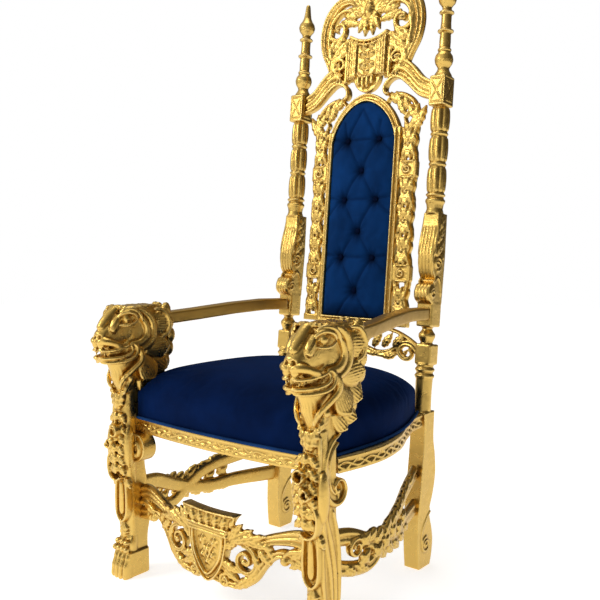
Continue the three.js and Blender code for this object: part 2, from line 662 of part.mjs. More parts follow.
function lowerBackRail() {
  const end = POST_X - STOCK / 2 - GAP;
  const rail = outlineOf([
    [-end, 142], [-end, 200], [-190, 226], [-150, BACK_BOTTOM - GAP], [150, BACK_BOTTOM - GAP], [190, 226],
    [end, 200], [end, 142], [214, 142], [176, 168], [140, 150], [80, 158], [0, 172], [-80, 158],
    [-140, 150], [-176, 168], [-214, 142],
  ]);
  for (const x of [-120, 0, 120]) {
    rail.holes.push(new THREE.Path(ovalPoints(x, 206, 30, 14, 8)));
  }
  const parts = [board(rail, -6, 22, 4)];
  const volute = stem(spiral([206, 168], 28, 8, 0.25, -0.9, 9), -6, [16, 14, 10], 22, 6);
  const run = stem([[178, 190], [130, 172], [78, 182], [30, 176]], -6, [16, 18, 12], 22, 5);
  parts.push(...withMirror([volute, run, leaf([60, 196], [104, 240], 24, -6, 18)]));
  return fuse(parts);
}

// ---- Stretchers ---------------------------------------------------------------------------------
const STRETCHER_BOW = 40;

function frontStretcher() {
  const end = LEG_X - LEG_WIDTH / 2 - GAP;
  const arm = stem([[end, 245], [270, 252], [214, 240], [160, 222], [100, 226], [60, 214]], 0, [44, 26, 26],
    28, 6);
  const sag = stem([[end, 182], [286, 200], [240, 186], [196, 152], [150, 112], [92, 94], [6, 100]], 0,
    [34, 26, 24], 28, 7);
  const scroll = stem(spiral([128, 168], 40, 12, 0.3, -0.8, 9), 0, [18, 16, 12], 28, 6);
  const parts = withMirror([
    arm, sag, scroll,
    stem([[250, 196], [262, 214], [300, 222]], 0, [14, 14, 14], 28, 3),
    lump(247, -4, 192, 12, 12, 12),
    leaf([70, 205], [160, 250], 34, -4, 26),
    leaf([40, 152], [116, 134], 26, -4, 24),
    leaf([150, 128], [96, 82], 30, -4, 26),
    stem(spiral([58, 100], 17, 14, 0.2, 1.15, 8), 0, [11, 11, 11], 28, 5),
  ]);
  const escutcheon = outlineOf([
    [-70, 236], [70, 236], [66, 190], [52, 140], [28, 104], [0, 86], [-28, 104], [-52, 140], [-66, 190],
  ]);
  const border = outlineOf([
    [-58, 226], [58, 226], [54, 188], [40, 142], [0, 104], [-40, 142], [-54, 188],
  ]);
  const crown = outlineOf([
    [-68, 234], [-80, 256], [-100, 279], [100, 279], [80, 256], [68, 234],
  ]);
  parts.push(board(escutcheon, -14, 28), board(border, -20, 8), board(crown, -18, 32));
  parts.push(block(-77, 77, -24, 0, 219, 237));
  for (const x of [-40, 0, 40]) parts.push(leaf([x, 240], [x * 1.12, 274], 30, -19, 14));
  parts.push(leaf([0, 204], [0, 122], 40, -20, 16));
  const whole = cut(fuse(parts), withMirror([block(end, end + 60, -60, 60, 60, 300)]));
  return shaped(bare(whole), (x, y, z) => [
    x, y + SEAT_FRONT + 21 - STRETCHER_BOW * (1 - (x / end) ** 2), z,
  ]);
}

// Two S-shaped branches that cross, seen from the side: here x stands for y, measured back from the leg.
function sideStretcher(side) {
  const y0 = LEG_BACK;
  const y1 = 24;
  const upper = stem([[y0, 262], [-420, 252], [-350, 222], [-280, 198], [-200, 185], [-110, 192], [y1, 190]],
    0, [44, 34, 50], 26, 8);
  const lower = stem([[y0, 190], [-400, 166], [-340, 168], [-280, 210], [-220, 243], [-120, 268], [y1, 295]],
    0, [38, 34, 44], 26, 8);
  const spirals = stem(spiral([-408, 226], 26, 9, 0, 1.1, 8), -12, [12, 11, 8], 12, 6, 3);
  const lobes = [[-250, 248], [-295, 230], [-292, 176], [-238, 170], [-120, 174]].map(([y, z]) => (
    leaf([y - 24, z - 4], [y + 24, z + 4], 24, 0, 26)));
  const flat = fuse([upper, lower, spirals, ...lobes]);
  const plan = new THREE.CatmullRomCurve3([[360, -490], [376, -400], [384, -310], [366, -200], [326, -90],
    [286, 30]].map(([x, y]) => new THREE.Vector3(x, y, 0)));
  const across = (y) => {
    let [low, high] = [0, 1];
    for (let i = 0; i < 24; i += 1) {
      const t = (low + high) / 2;
      if (plan.getPoint(t).y < y) low = t; else high = t;
    }
    return plan.getPoint(low).x;
  };
  const along = shaped(bare(turnedAlong(flat, 0)), (x, y, z) => [across(y) + x - 8, y, z]);
  const legs = [
    legPost().translate(LEG_X, GAP, 0),
    rearLegBoard().translate(POST_X, -GAP, 0),
    block(200, 440, -560, LEG_BACK - 6, 100, 400),
  ];
  return toward(side, cut(along, legs));
}

// ---- The throne ---------------------------------------------------------------------------------
const throne = new THREE.Group();
throne.position.set(0, CENTRE_Y, 0);
const back = new THREE.Group();
back.position.set(0, POST_AXIS_Y, SEAT_TOP);
back.rotation.x = -POST_LEAN;
throne.add(back);

function add(name, geometry, material = gold, parent = throne) {
  const mesh = new THREE.Mesh(facingOut(bare(geometry)), material);
  mesh.name = name;
  parent.add(mesh);
  return mesh;
}

for (const [side, word] of [[LEFT, 'left'], [RIGHT, 'right']]) {
  add(`front_leg_${word}`, frontLeg(side));
  add(`rear_post_${word}`, rearPost(side));
  add(`armrest_${word}`, armrest(side));
  add(`side_seat_rail_${word}`, sideRail(side));
  add(`side_stretcher_${word}`, sideStretcher(side));
}
add('front_seat_rail', frontRail());
add('rear_seat_rail', rearRail());
add('front_stretcher', frontStretcher());
add('seat_cushion', seatCushion(), velvet);
add('crest_rail', crestRail(), gold, back);
add('back_frame', backFrame(), gold, back);
add('lower_back_rail', lowerBackRail(), gold, back);
add('back_pad', padSolid(), velvet, back);
add('back_panel', backPanel(), velvet, back);

export default throne;
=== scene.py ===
# %% [markdown]
# # A carved and gilded lion throne
# The real chair is carved mahogany under gold leaf, with a velvet seat and a tufted back. The packed
# CAD model gives every piece its place and its size. This lesson dresses that frame: it carves each
# gilded piece again with its reeds, leaves and fur, and upholsters the seat and the back.

# %% Load the frame
import math
import bpy
import numpy as np
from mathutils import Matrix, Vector


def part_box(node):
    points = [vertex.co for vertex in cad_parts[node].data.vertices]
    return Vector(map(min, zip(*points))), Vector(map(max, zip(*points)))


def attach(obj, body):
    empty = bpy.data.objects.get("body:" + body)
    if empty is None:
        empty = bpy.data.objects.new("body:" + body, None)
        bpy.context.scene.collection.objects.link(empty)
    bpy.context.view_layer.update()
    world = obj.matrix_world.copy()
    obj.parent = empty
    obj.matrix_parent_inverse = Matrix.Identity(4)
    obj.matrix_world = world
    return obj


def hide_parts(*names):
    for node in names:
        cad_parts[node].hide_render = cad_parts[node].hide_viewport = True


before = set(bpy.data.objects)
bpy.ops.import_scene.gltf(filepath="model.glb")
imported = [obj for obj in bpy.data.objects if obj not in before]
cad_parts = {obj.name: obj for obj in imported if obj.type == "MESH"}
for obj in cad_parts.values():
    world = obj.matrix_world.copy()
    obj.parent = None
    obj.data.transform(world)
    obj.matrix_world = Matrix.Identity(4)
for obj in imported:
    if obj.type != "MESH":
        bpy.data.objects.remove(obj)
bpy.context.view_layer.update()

# %% [markdown]
# ## The carver's own measures
# A carver measures from the seat's rear edge and in millimetres, so the shapes are worked out that way
# and then placed. The boxes of the CAD pieces say where the two systems meet. The back leans, so its
# pieces are drawn upright, with heights from the seat top, and then tipped with the posts.

# %% Measures and placing
MM = 0.001
leg_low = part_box("front_leg_right")[0]
post_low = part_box("rear_post_right")[0]
NOSE_Y = -641.0
SHIFT_Y = leg_low.y / MM - NOSE_Y
LEG_MIDDLE, POST_MIDDLE = 79.5, 30.5
LEG_X = leg_low.x / MM + LEG_MIDDLE
POST_X = post_low.x / MM + POST_MIDDLE
SEAT_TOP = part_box("seat_cushion")[0].z / MM - 0.3
BACK_RAKE = 0.102
POST_LEAN = math.atan(BACK_RAKE)
POST_AXIS_Y = 73.4
print("leg at", round(LEG_X, 1), "post at", round(POST_X, 1), "shift", round(SHIFT_Y, 1), "seat",
      round(SEAT_TOP, 1))


def lean(points):
    """Tips points of the upright back: y and height turn by the posts' lean about the seat top."""
    x, y, h = np.moveaxis(points, -1, 0)
    c, s = math.cos(POST_LEAN), math.sin(POST_LEAN)
    return np.stack([x, POST_AXIS_Y + y * c + h * s, SEAT_TOP + h * c - y * s], -1)


def to_row(points):
    """Millimetres from the seat's rear edge become metres in the row frame."""
    return (points + np.array([0.0, SHIFT_Y, 0.0])) * MM


# %% [markdown]
# ## Closed rings
# Nearly every carved form is a row of closed rings: a stem, a leaf, a turned foot or a muzzle. A shape
# is kept as two arrays, its points and its faces, so shapes can be moved and joined before any mesh
# exists. A triangle is stored as a face of four with -1 in the last place.

# %% Rings, joining and turning
def rings_shape(rings):
    """Skin over an array (stations, around, 3) of closed rings, with a point closing each end."""
    n, m, _ = rings.shape
    points = np.vstack([rings.reshape(-1, 3), rings[0].mean(0), rings[-1].mean(0)])
    i, j = np.meshgrid(np.arange(n - 1), np.arange(m), indexing="ij")
    k = (j + 1) % m
    sides = np.stack([i * m + j, i * m + k, (i + 1) * m + k, (i + 1) * m + j], -1).reshape(-1, 4)
    a = np.arange(m)
    b = (a + 1) % m
    none = np.full(m, -1)
    start = np.stack([b, a, np.full(m, n * m), none], -1)
    end = np.stack([(n - 1) * m + a, (n - 1) * m + b, np.full(m, n * m + 1), none], -1)
    return facing_out((points, np.vstack([sides, start, end])))


def facing_out(shape):
    """Turns the faces over when the signed volume of the skin, the sum of corner products, is negative."""
    points, faces = shape
    p = points[faces[:, :3]]
    volume = np.einsum("ij,ij->i", p[:, 0], np.cross(p[:, 1], p[:, 2])).sum()
    quads = faces[faces[:, 3] >= 0]
    q = points[quads[:, [0, 2, 3]]]
    volume += np.einsum("ij,ij->i", q[:, 0], np.cross(q[:, 1], q[:, 2])).sum()
    return (points, flipped(faces)) if volume < 0 else shape


def flipped(faces):
    """The same faces wound the other way."""
    turned = faces.copy()
    four = faces[:, 3] >= 0
    turned[four] = faces[four][:, [0, 3, 2, 1]]
    turned[~four] = faces[~four][:, [0, 2, 1, 3]]
    return turned


def join(shapes):
    """Several shapes as one: faces count on from the points before them."""
    points, faces, count = [], [], 0
    for p, f in shapes:
        points.append(p)
        faces.append(np.where(f >= 0, f + count, -1))
        count += len(p)
    return np.vstack(points), np.vstack(faces)


def moved(shape, x=0.0, y=0.0, z=0.0):
    """The same shape shifted by x, y and z."""
    return shape[0] + np.array([x, y, z]), shape[1]


def mirrored(shape):
    """The other side: x changes sign and the faces turn over."""
    return shape[0] * np.array([-1.0, 1.0, 1.0]), flipped(shape[1])


def both(shapes):
    """The shapes of the right-hand side and their mirror images."""
    return list(shapes) + [mirrored(s) for s in shapes]


def turned_to_side(shape, x=0.0):
    """A form carved facing the front, in x and z, turns to face +x, with its x now along y."""
    p = shape[0]
    return np.stack([x - p[:, 1], p[:, 0], p[:, 2]], -1), shape[1]


def bent(shape, rule):
    """Moves all points at once by rule(points)."""
    return rule(shape[0]), shape[1]


# %% [markdown]
# ## Curves and the basic carved forms
# A stem is a section carried along a smooth curve. A leaf is a row of lens-shaped sections that widen
# and narrow, with a groove for the midrib and swellings for its lobes. A turned form spins a profile,
# and a ball is an ellipsoid. They could be modelled by hand with curves, but as formulas their reeds
# and veins stay even.

# %% Curves
def curve(points, count):
    """Catmull-Rom spline through the points, sampled evenly by its length."""
    p = np.asarray(points, float)
    ends = np.vstack([2 * p[0] - p[1], p, 2 * p[-1] - p[-2]])
    t = np.linspace(0, len(p) - 1, 24 * (len(p) - 1) + 1)
    i = np.minimum(t.astype(int), len(p) - 2)
    f = (t - i)[:, None]
    a, b, c, d = ends[i], ends[i + 1], ends[i + 2], ends[i + 3]
    q = 0.5 * (2 * b + (c - a) * f + (2 * a - 5 * b + 4 * c - d) * f**2 + (3 * b - a - 3 * c + d) * f**3)
    far = np.r_[0, np.cumsum(np.linalg.norm(np.diff(q, axis=0), axis=1))]
    s = np.linspace(0, far[-1], count)
    return np.stack([np.interp(s, far, q[:, k]) for k in range(q.shape[1])], -1)


def spread(values, count):
    """A short list of values, smoothly spread over a count of stations."""
    values = np.atleast_1d(np.asarray(values, float))
    if len(values) == 1:
        return np.full(count, values[0])
    t = np.linspace(0, len(values) - 1, count)
    i = np.minimum(t.astype(int), len(values) - 2)
    f = t - i
    f = f * f * (3 - 2 * f)
    return values[i] * (1 - f) + values[i + 1] * f


def spiral(centre, radius0, radius1, turn0, turn1, count=14):
    """Points on a spiral: the radius runs from one value to the other as the angle turns."""
    t = np.linspace(0, 1, count)
    angle = 2 * math.pi * (turn0 + (turn1 - turn0) * t)
    radius = radius0 + (radius1 - radius0) * t
    return np.stack([centre[0] + radius * np.cos(angle), centre[1] + radius * np.sin(angle)], -1)


def squared(v, power):
    """Keeps the sign and raises the size to a power, which squares a circle off."""
    return np.sign(v) * np.abs(v) ** power


def superloop(around, power=0.7):
    """Corners p, q of a squared circle."""
    a = 2 * math.pi * np.arange(around) / around
    return squared(np.cos(a), power), squared(np.sin(a), power)


# %% [markdown]
# ## The carver's vocabulary
# Scrolls, reeds, leaves and turned lengths make up nearly all of the ornament. Each is a function here,
# so that a scroll needs only its path, its widths and the number of its reeds.

# %% Stems, leaves, turnings and balls
def stem(points, width, depth, y=0.0, reeds=0, steps=None, ends=(0.0, 0.0), groove=0.3, around=28,
         power=0.75):
    """Section carried along a curve in x and z. Its front is scalloped into a number of reeds, and an
    end given a share of the length rounds off over that share."""
    length = np.linalg.norm(np.diff(np.asarray(points, float), axis=0), axis=1).sum()
    count = steps or int(np.clip(length / 4, 8, 90))
    path = curve(points, count)
    way = np.gradient(path, axis=0)
    way /= np.linalg.norm(way, axis=1, keepdims=True)
    t = np.linspace(0, 1, count)
    close = np.ones(count)
    if ends[0]:
        close *= np.sqrt(1 - np.clip(1 - t / ends[0], 0, 1) ** 2 * 0.96)
    if ends[1]:
        close *= np.sqrt(1 - np.clip(1 - (1 - t) / ends[1], 0, 1) ** 2 * 0.96)
    half = (spread(width, count) / 2 * close)[:, None]
    thick = (spread(depth, count) / 2 * (0.55 + 0.45 * close))[:, None]
    p, q = superloop(around, power)
    if reeds:
        valley = (0.5 + 0.5 * np.cos(2 * math.pi * reeds * (p + 1) / 2)) * (np.abs(p) < 0.98)
        q = np.where(q < 0, q * (1 - groove * valley), q)
    x = path[:, :1] - way[:, 1:] * p * half
    z = path[:, 1:] + way[:, :1] * p * half
    return rings_shape(np.stack([x, y + q * thick, z], -1))


def leaf(root, tip, width, y=0.0, depth=14.0, bend=0.0, lobes=3, fullness=0.8):
    """Lens-shaped sections along a bent midrib. The half width follows a sine that peaks nearer the
    root, times a small ripple for the lobes; the front is scored by the midrib and slanting veins."""
    root, tip = np.asarray(root, float), np.asarray(tip, float)
    along = tip - root
    length = np.linalg.norm(along)
    across = np.array([-along[1], along[0]]) / length
    middle = (root + tip) / 2 + across * bend
    count = int(np.clip(length / 3, 14, 40))
    path = curve([root, middle, tip], count)
    way = np.gradient(path, axis=0)
    way /= np.linalg.norm(way, axis=1, keepdims=True)
    t = np.linspace(0, 1, count)[:, None]
    half = width / 2 * np.sin(math.pi * (0.06 + 0.92 * t) ** fullness) ** 0.75
    ripple = 1 + 0.16 * np.cos(2 * math.pi * lobes * t)
    p, q = superloop(32, 0.9)
    veins = 0.5 + 0.5 * np.cos(2 * math.pi * lobes * (t - 0.28 * np.abs(p)))
    midrib = np.exp(-((p / 0.16) ** 2))
    front = q * (1 - 0.32 * veins * np.abs(p) ** 0.7 - 0.3 * midrib)
    thick = depth / 2 * np.sin(math.pi * (0.1 + 0.86 * t)) ** 0.5
    y_at = y + np.where(q < 0, front, q) * thick
    x = path[:, :1] - way[:, 1:] * p * half * ripple
    z = path[:, 1:] + way[:, :1] * p * half * ripple
    return rings_shape(np.stack([x, y_at, z], -1))


def turning(profile, around=40):
    """Profile of (radius, height) spun about z, with three more rings between each two corners."""
    profile = np.asarray(profile, float)
    share = np.linspace(0, 1, 4, endpoint=False)[:, None]
    cuts = [share * (b - a) + a for a, b in zip(profile[:-1], profile[1:])]
    profile = np.vstack(cuts + [profile[-1:]])
    angle = 2 * math.pi * np.arange(around) / around
    radius = np.repeat(profile[:, :1], around, axis=1)
    z = np.broadcast_to(profile[:, 1:], radius.shape)
    return rings_shape(np.stack([radius * np.cos(angle), radius * np.sin(angle), z], -1))


def ball(centre, radii, around=24):
    """Ellipsoid: rings at even angles from pole to pole."""
    a = np.linspace(0.06, math.pi - 0.06, around // 2)[:, None]
    b = 2 * math.pi * np.arange(around) / around
    unit = np.stack([np.sin(a) * np.cos(b), np.sin(a) * np.sin(b),
                     np.broadcast_to(np.cos(a), (len(a), around))], -1)
    return rings_shape(np.asarray(centre, float) + unit * np.asarray(radii, float))


def rope(points, radius, flat=1.0, around=16, wave=0.0, waves=0, ends=True):
    """Round section along a curve in space. flat scales it along x, and a wave can swell it in turns."""
    length = np.linalg.norm(np.diff(np.asarray(points, float), axis=0), axis=1).sum()
    count = int(np.clip(length / 3, 10, 80))
    path = curve(points, count)
    way = np.gradient(path, axis=0)
    way /= np.linalg.norm(way, axis=1, keepdims=True)
    side = np.array([1.0, 0.0, 0.0])
    other = np.cross(way, side)
    other /= np.maximum(np.linalg.norm(other, axis=1, keepdims=True), 1e-6)
    first = np.cross(other, way)
    t = np.linspace(0, 1, count)
    size = spread(radius, count) * (1 + wave * np.cos(2 * math.pi * waves * t))
    if ends:
        size = size * np.sqrt(np.clip(1 - np.clip(1 - np.minimum(t, 1 - t) * 8, 0, 1) ** 2, 0.04, 1))
    a = 2 * math.pi * np.arange(around) / around
    ring = first[:, None] * np.cos(a)[:, None] * flat + other[:, None] * np.sin(a)[:, None]
    return rings_shape(path[:, None] + ring * size[:, None, None])


def slab(x0, x1, y0, y1, z0, z1, soft=2.5):
    """Block whose section in x and y is a squared circle, with its top and bottom edges eased."""
    p, q = superloop(40, 0.22)
    levels = np.array([z0, z0, z0 + soft, z1 - soft, z1, z1], float)[:, None]
    inset = np.array([0.4, soft, 0, 0, soft, 0.4], float)[:, None]
    inset[0], inset[-1] = (x1 - x0) * 0.4, (x1 - x0) * 0.4
    half_x, half_y = (x1 - x0) / 2 - inset, (y1 - y0) / 2 - np.minimum(inset, (y1 - y0) * 0.4)
    x = (x0 + x1) / 2 + p * half_x
    y = (y0 + y1) / 2 + q * half_y
    return rings_shape(np.stack([x, y, np.broadcast_to(levels, x.shape)], -1))


def plate(outline, y0, y1):
    """Flat board: a closed outline in x and z, from y0 back to y1."""
    o = np.asarray(outline, float)
    ring = np.stack([o[:, 0], np.zeros(len(o)), o[:, 1]], -1)
    return rings_shape(np.stack([ring + [0, y0, 0], ring + [0, y1, 0]]))


# %% [markdown]
# ## From shapes to one carved piece
# A carver cuts one block, so overlapping forms should end as one skin. Joining them by booleans is
# fragile with hundreds of leaves. A voxel remesh wraps the whole group instead, and a few rounds of
# smoothing leave the slightly softened edges of gesso and gold leaf.

# %% Fusing and building
def mesh_object(name, shape):
    """Puts a shape, already in the row frame, into a mesh object."""
    points, faces = shape
    sides = np.where(faces[:, 3] < 0, 3, 4)
    loops = faces[faces >= 0].astype(np.int32)
    starts = np.r_[0, np.cumsum(sides)[:-1]].astype(np.int32)
    mesh = bpy.data.meshes.new(name)
    mesh.vertices.add(len(points))
    mesh.vertices.foreach_set("co", points.astype(np.float32).ravel())
    mesh.loops.add(len(loops))
    mesh.loops.foreach_set("vertex_index", loops)
    mesh.polygons.add(len(faces))
    mesh.polygons.foreach_set("loop_start", starts)
    mesh.update(calc_edges=True)
    mesh.validate()
    thing = bpy.data.objects.new(name, mesh)
    bpy.context.scene.collection.objects.link(thing)
    return thing


def applied(thing):
    """Replaces an object's mesh by what its modifiers make of it."""
    depsgraph = bpy.context.evaluated_depsgraph_get()
    made = bpy.data.meshes.new_from_object(thing.evaluated_get(depsgraph))
    old = thing.data
    made.name = thing.name
    thing.modifiers.clear()
    thing.data = made
    bpy.data.meshes.remove(old)
    return thing


def coordinates(mesh):
    """All points of a mesh as one array."""
    co = np.empty(len(mesh.vertices) * 3, np.float32)
    mesh.vertices.foreach_get("co", co)
    return co.reshape(-1, 3).astype(float)


def carved(name, shape, voxel, smooth=3, relief=None):
    """One piece out of overlapping shapes: voxel remesh, smoothing, then a relief that moves each
    point along its normal by relief(points in millimetres, normals)."""
    thing = mesh_object(name, (to_row(shape[0]), shape[1]))
    remesh = thing.modifiers.new("one_skin", "REMESH")
    remesh.mode = "VOXEL"
    remesh.voxel_size = voxel * MM * 1.0
    remesh.use_smooth_shade = True
    soften = thing.modifiers.new("soften", "SMOOTH")
    soften.factor, soften.iterations = 0.5, smooth
    applied(thing)
    mesh = thing.data
    if relief is not None:
        co = coordinates(mesh)
        normals = np.empty(len(co) * 3, np.float32)
        mesh.vertices.foreach_get("normal", normals)
        normals = normals.reshape(-1, 3).astype(float)
        carve = relief(co / MM - np.array([0.0, SHIFT_Y, 0.0]), normals)
        co += normals * carve[:, None] * MM
        mesh.vertices.foreach_set("co", co.astype(np.float32).ravel())
        mesh.update()
    print(name, "triangles", len(thing.data.loops) - 2 * len(thing.data.polygons))
    return thing


def finished(thing, material, slot, *nodes, padding=None):
    """Material, body and the CAD nodes it stands for. The slot argument is not used."""
    thing.data.materials.clear()
    thing.data.materials.append(material)
    thing.data.polygons.foreach_set("use_smooth", np.ones(len(thing.data.polygons), bool))
    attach(thing, "root")
    if nodes:
        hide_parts(*nodes)
    return thing


# %% [markdown]
# ## Gold leaf and velvet
# Gold over red bole is a warm metal: brighter and smoother where it is rubbed. A dark red-brown is
# painted into the hollows as shade. The masks for the wear and for this painted shade are a node group,
# so the gold of every piece uses them with its own values.
# Velvet is dark when seen along the pile and shows a pale sheen at grazing angles.

# %% Shader helpers
def new_group(name, inputs, outputs):
    """Empty node group with named sockets."""
    group = bpy.data.node_groups.new(name, "ShaderNodeTree")
    for label, kind, value in inputs:
        socket = group.interface.new_socket(label, in_out="INPUT", socket_type=kind)
        if value is not None:
            socket.default_value = value
    for label, kind in outputs:
        group.interface.new_socket(label, in_out="OUTPUT", socket_type=kind)
    return group, group.nodes.new("NodeGroupInput"), group.nodes.new("NodeGroupOutput")


def node(tree, kind, **values):
    """Adds a node and sets its properties; a key that starts with in_ sets the input of that number."""
    made = tree.nodes.new(kind)
    for key, value in values.items():
        if key.startswith("in_"):
            made.inputs[int(key[3:])].default_value = value
        else:
            setattr(made, key, value)
    return made


def ramp(tree, stops):
    """Colour ramp through (position, colour) stops."""
    made = tree.nodes.new("ShaderNodeValToRGB")
    bar = made.color_ramp
    for k, (at, colour) in enumerate(stops):
        stop = bar.elements[k] if k < 2 else bar.elements.new(at)
        stop.position = at
        stop.color = (*colour, 1.0)
    return made


def carving_wear_and_shade():
    """Masks on carved surfaces from the curvature: raised edges for wear, broken up by noise, and hollows
    where shade is painted.
    """
    group, get, out = new_group("carving_wear_and_shade", [("Edge Low", "NodeSocketFloat", 0.52),
                                                 ("Edge High", "NodeSocketFloat", 0.6),
                                                 ("Breakup Scale", "NodeSocketFloat", 60.0)],
                                [("Edges", "NodeSocketFloat"), ("Hollow Shade", "NodeSocketFloat"),
                                 ("Breakup", "NodeSocketFloat")])
    place = node(group, "ShaderNodeTexCoord")
    noise = node(group, "ShaderNodeTexNoise", in_3=4.0, in_4=0.6)
    group.links.new(place.outputs["Object"], noise.inputs["Vector"])
    group.links.new(get.outputs["Breakup Scale"], noise.inputs["Scale"])
    shape = node(group, "ShaderNodeNewGeometry")
    edges = node(group, "ShaderNodeMapRange")
    group.links.new(shape.outputs["Pointiness"], edges.inputs["Value"])
    group.links.new(get.outputs["Edge Low"], edges.inputs["From Min"])
    group.links.new(get.outputs["Edge High"], edges.inputs["From Max"])
    # Painted shade: low pointiness marks the hollows, where the gold is darkened as if shadowed.
    hollow_shade = node(group, "ShaderNodeMapRange", in_1=0.505, in_2=0.435)
    group.links.new(shape.outputs["Pointiness"], hollow_shade.inputs["Value"])
    broken = node(group, "ShaderNodeMath", operation="MULTIPLY")
    group.links.new(edges.outputs["Result"], broken.inputs[0])
    group.links.new(noise.outputs["Fac"], broken.inputs[1])
    group.links.new(broken.outputs["Value"], out.inputs["Edges"])
    group.links.new(hollow_shade.outputs["Result"], out.inputs["Hollow Shade"])
    group.links.new(noise.outputs["Fac"], out.inputs["Breakup"])
    return group


WEAR_AND_SHADE = carving_wear_and_shade()


def gold_leaf(name, body, hollow_shade_colour, bright, roughness, bump):
    """Warm metal: a dark colour painted into the recesses as shade, bright on rubbed edges, fine brush and
    chisel marks.
    """
    material = bpy.data.materials.new(name)
    material.use_nodes = True
    tree = material.node_tree
    shader = tree.nodes["Principled BSDF"]
    shader.inputs["Metallic"].default_value = 1.0
    wear_and_shade = node(tree, "ShaderNodeGroup", node_tree=WEAR_AND_SHADE)
    place = node(tree, "ShaderNodeTexCoord")
    cloud = node(tree, "ShaderNodeTexNoise", in_2=7.0, in_3=3.0)
    tree.links.new(place.outputs["Object"], cloud.inputs["Vector"])
    tone = ramp(tree, [(0.3, body), (0.72, tuple(min(c * k, 1) for c, k in zip(body, (1.12, 1.1, 1.0))))])
    tree.links.new(cloud.outputs["Fac"], tone.inputs["Fac"])
    # Painted shade: the hollow mask mixes the dark colour into the recesses.
    deep = node(tree, "ShaderNodeMix", data_type="RGBA")
    deep.inputs["B"].default_value = (*hollow_shade_colour, 1)
    tree.links.new(tone.outputs["Color"], deep.inputs["A"])
    tree.links.new(wear_and_shade.outputs["Hollow Shade"], deep.inputs["Factor"])
    rubbed = node(tree, "ShaderNodeMix", data_type="RGBA")
    rubbed.inputs["B"].default_value = (*bright, 1)
    tree.links.new(deep.outputs["Result"], rubbed.inputs["A"])
    tree.links.new(wear_and_shade.outputs["Edges"], rubbed.inputs["Factor"])
    tree.links.new(rubbed.outputs["Result"], shader.inputs["Base Color"])
    rough = node(tree, "ShaderNodeMapRange", in_1=0.3, in_2=0.75, in_3=roughness - 0.07,
                 in_4=roughness + 0.12)
    tree.links.new(wear_and_shade.outputs["Breakup"], rough.inputs["Value"])
    tree.links.new(rough.outputs["Result"], shader.inputs["Roughness"])
    marks = node(tree, "ShaderNodeTexNoise", in_2=420.0, in_3=2.0)
    tree.links.new(place.outputs["Object"], marks.inputs["Vector"])
    waves = node(tree, "ShaderNodeTexNoise", in_2=38.0, in_3=2.0)
    tree.links.new(place.outputs["Object"], waves.inputs["Vector"])
    both_marks = node(tree, "ShaderNodeMath", operation="MULTIPLY_ADD", in_1=3.0)
    tree.links.new(waves.outputs["Fac"], both_marks.inputs[0])
    tree.links.new(marks.outputs["Fac"], both_marks.inputs[2])
    uneven = node(tree, "ShaderNodeBump")
    uneven.inputs["Strength"].default_value = 0.35
    uneven.inputs["Distance"].default_value = bump
    tree.links.new(both_marks.outputs["Value"], uneven.inputs["Height"])
    tree.links.new(uneven.outputs["Normal"], shader.inputs["Normal"])
    return material


# The second colour of each gold is the painted shade of its hollows.
GOLD = gold_leaf("gilded_carving", (0.66, 0.44, 0.12), (0.17, 0.07, 0.008), (1.0, 0.88, 0.52), 0.3, 0.0012)
# Painted shade: the plain gold has a darker, browner body colour than the carved gold, standing for the shade
# on the arms' side away from the key light.
GOLD_PLAIN_SHADED = gold_leaf("gilded_plain_wood_shaded", (0.50, 0.32, 0.085), (0.15, 0.06, 0.008), (0.85, 0.68, 0.34),
                       0.38, 0.0008)


def velvet(name, deep, sheen_tint, pile_scale, with_tuft_shade=False):
    """Deep cloth with a sheen; crushed patches change its tone, and a fine pile roughens it. For the tufted
    pad a stored attribute paints shade in near-black into its pits, folds and lower edge.
    """
    material = bpy.data.materials.new(name)
    material.use_nodes = True
    tree = material.node_tree
    shader = tree.nodes["Principled BSDF"]
    shader.inputs["Roughness"].default_value = 0.85
    shader.inputs["Specular IOR Level"].default_value = 0.04
    shader.inputs["Sheen Weight"].default_value = 0.16
    shader.inputs["Sheen Roughness"].default_value = 0.35
    shader.inputs["Sheen Tint"].default_value = (*sheen_tint, 1)
    place = node(tree, "ShaderNodeTexCoord")
    patches = node(tree, "ShaderNodeTexNoise", in_2=6.0, in_3=4.0, in_4=0.6)
    tree.links.new(place.outputs["Object"], patches.inputs["Vector"])
    tone = ramp(tree, [(0.32, tuple(c * 0.72 for c in deep)), (0.7, tuple(min(c * 1.45, 1) for c in deep))])
    tree.links.new(patches.outputs["Fac"], tone.inputs["Fac"])
    tree.links.new(tone.outputs["Color"], shader.inputs["Base Color"])
    # Painted shade: a stored attribute mixes the cloth towards near-black in the pad's button pits, folds and
    # lower edge.
    if with_tuft_shade:
        pits = node(tree, "ShaderNodeAttribute", attribute_name="tuft_shade")
        dark = node(tree, "ShaderNodeMix", data_type="RGBA")
        dark.inputs["B"].default_value = (0.0002, 0.0012, 0.008, 1)
        tree.links.new(pits.outputs["Fac"], dark.inputs["Factor"])
        tree.links.new(tone.outputs["Color"], dark.inputs["A"])
        tree.links.new(dark.outputs["Result"], shader.inputs["Base Color"])
    pile = node(tree, "ShaderNodeTexNoise", in_2=pile_scale, in_3=2.0)
    tree.links.new(place.outputs["Object"], pile.inputs["Vector"])
    nap = node(tree, "ShaderNodeBump")
    nap.inputs["Strength"].default_value = 0.4
    nap.inputs["Distance"].default_value = 0.0006
    tree.links.new(pile.outputs["Fac"], nap.inputs["Height"])
    tree.links.new(nap.outputs["Normal"], shader.inputs["Normal"])
    return material


VELVET = velvet("navy_velvet", (0.0006, 0.008, 0.046), (0.01, 0.14, 0.6), 900.0)
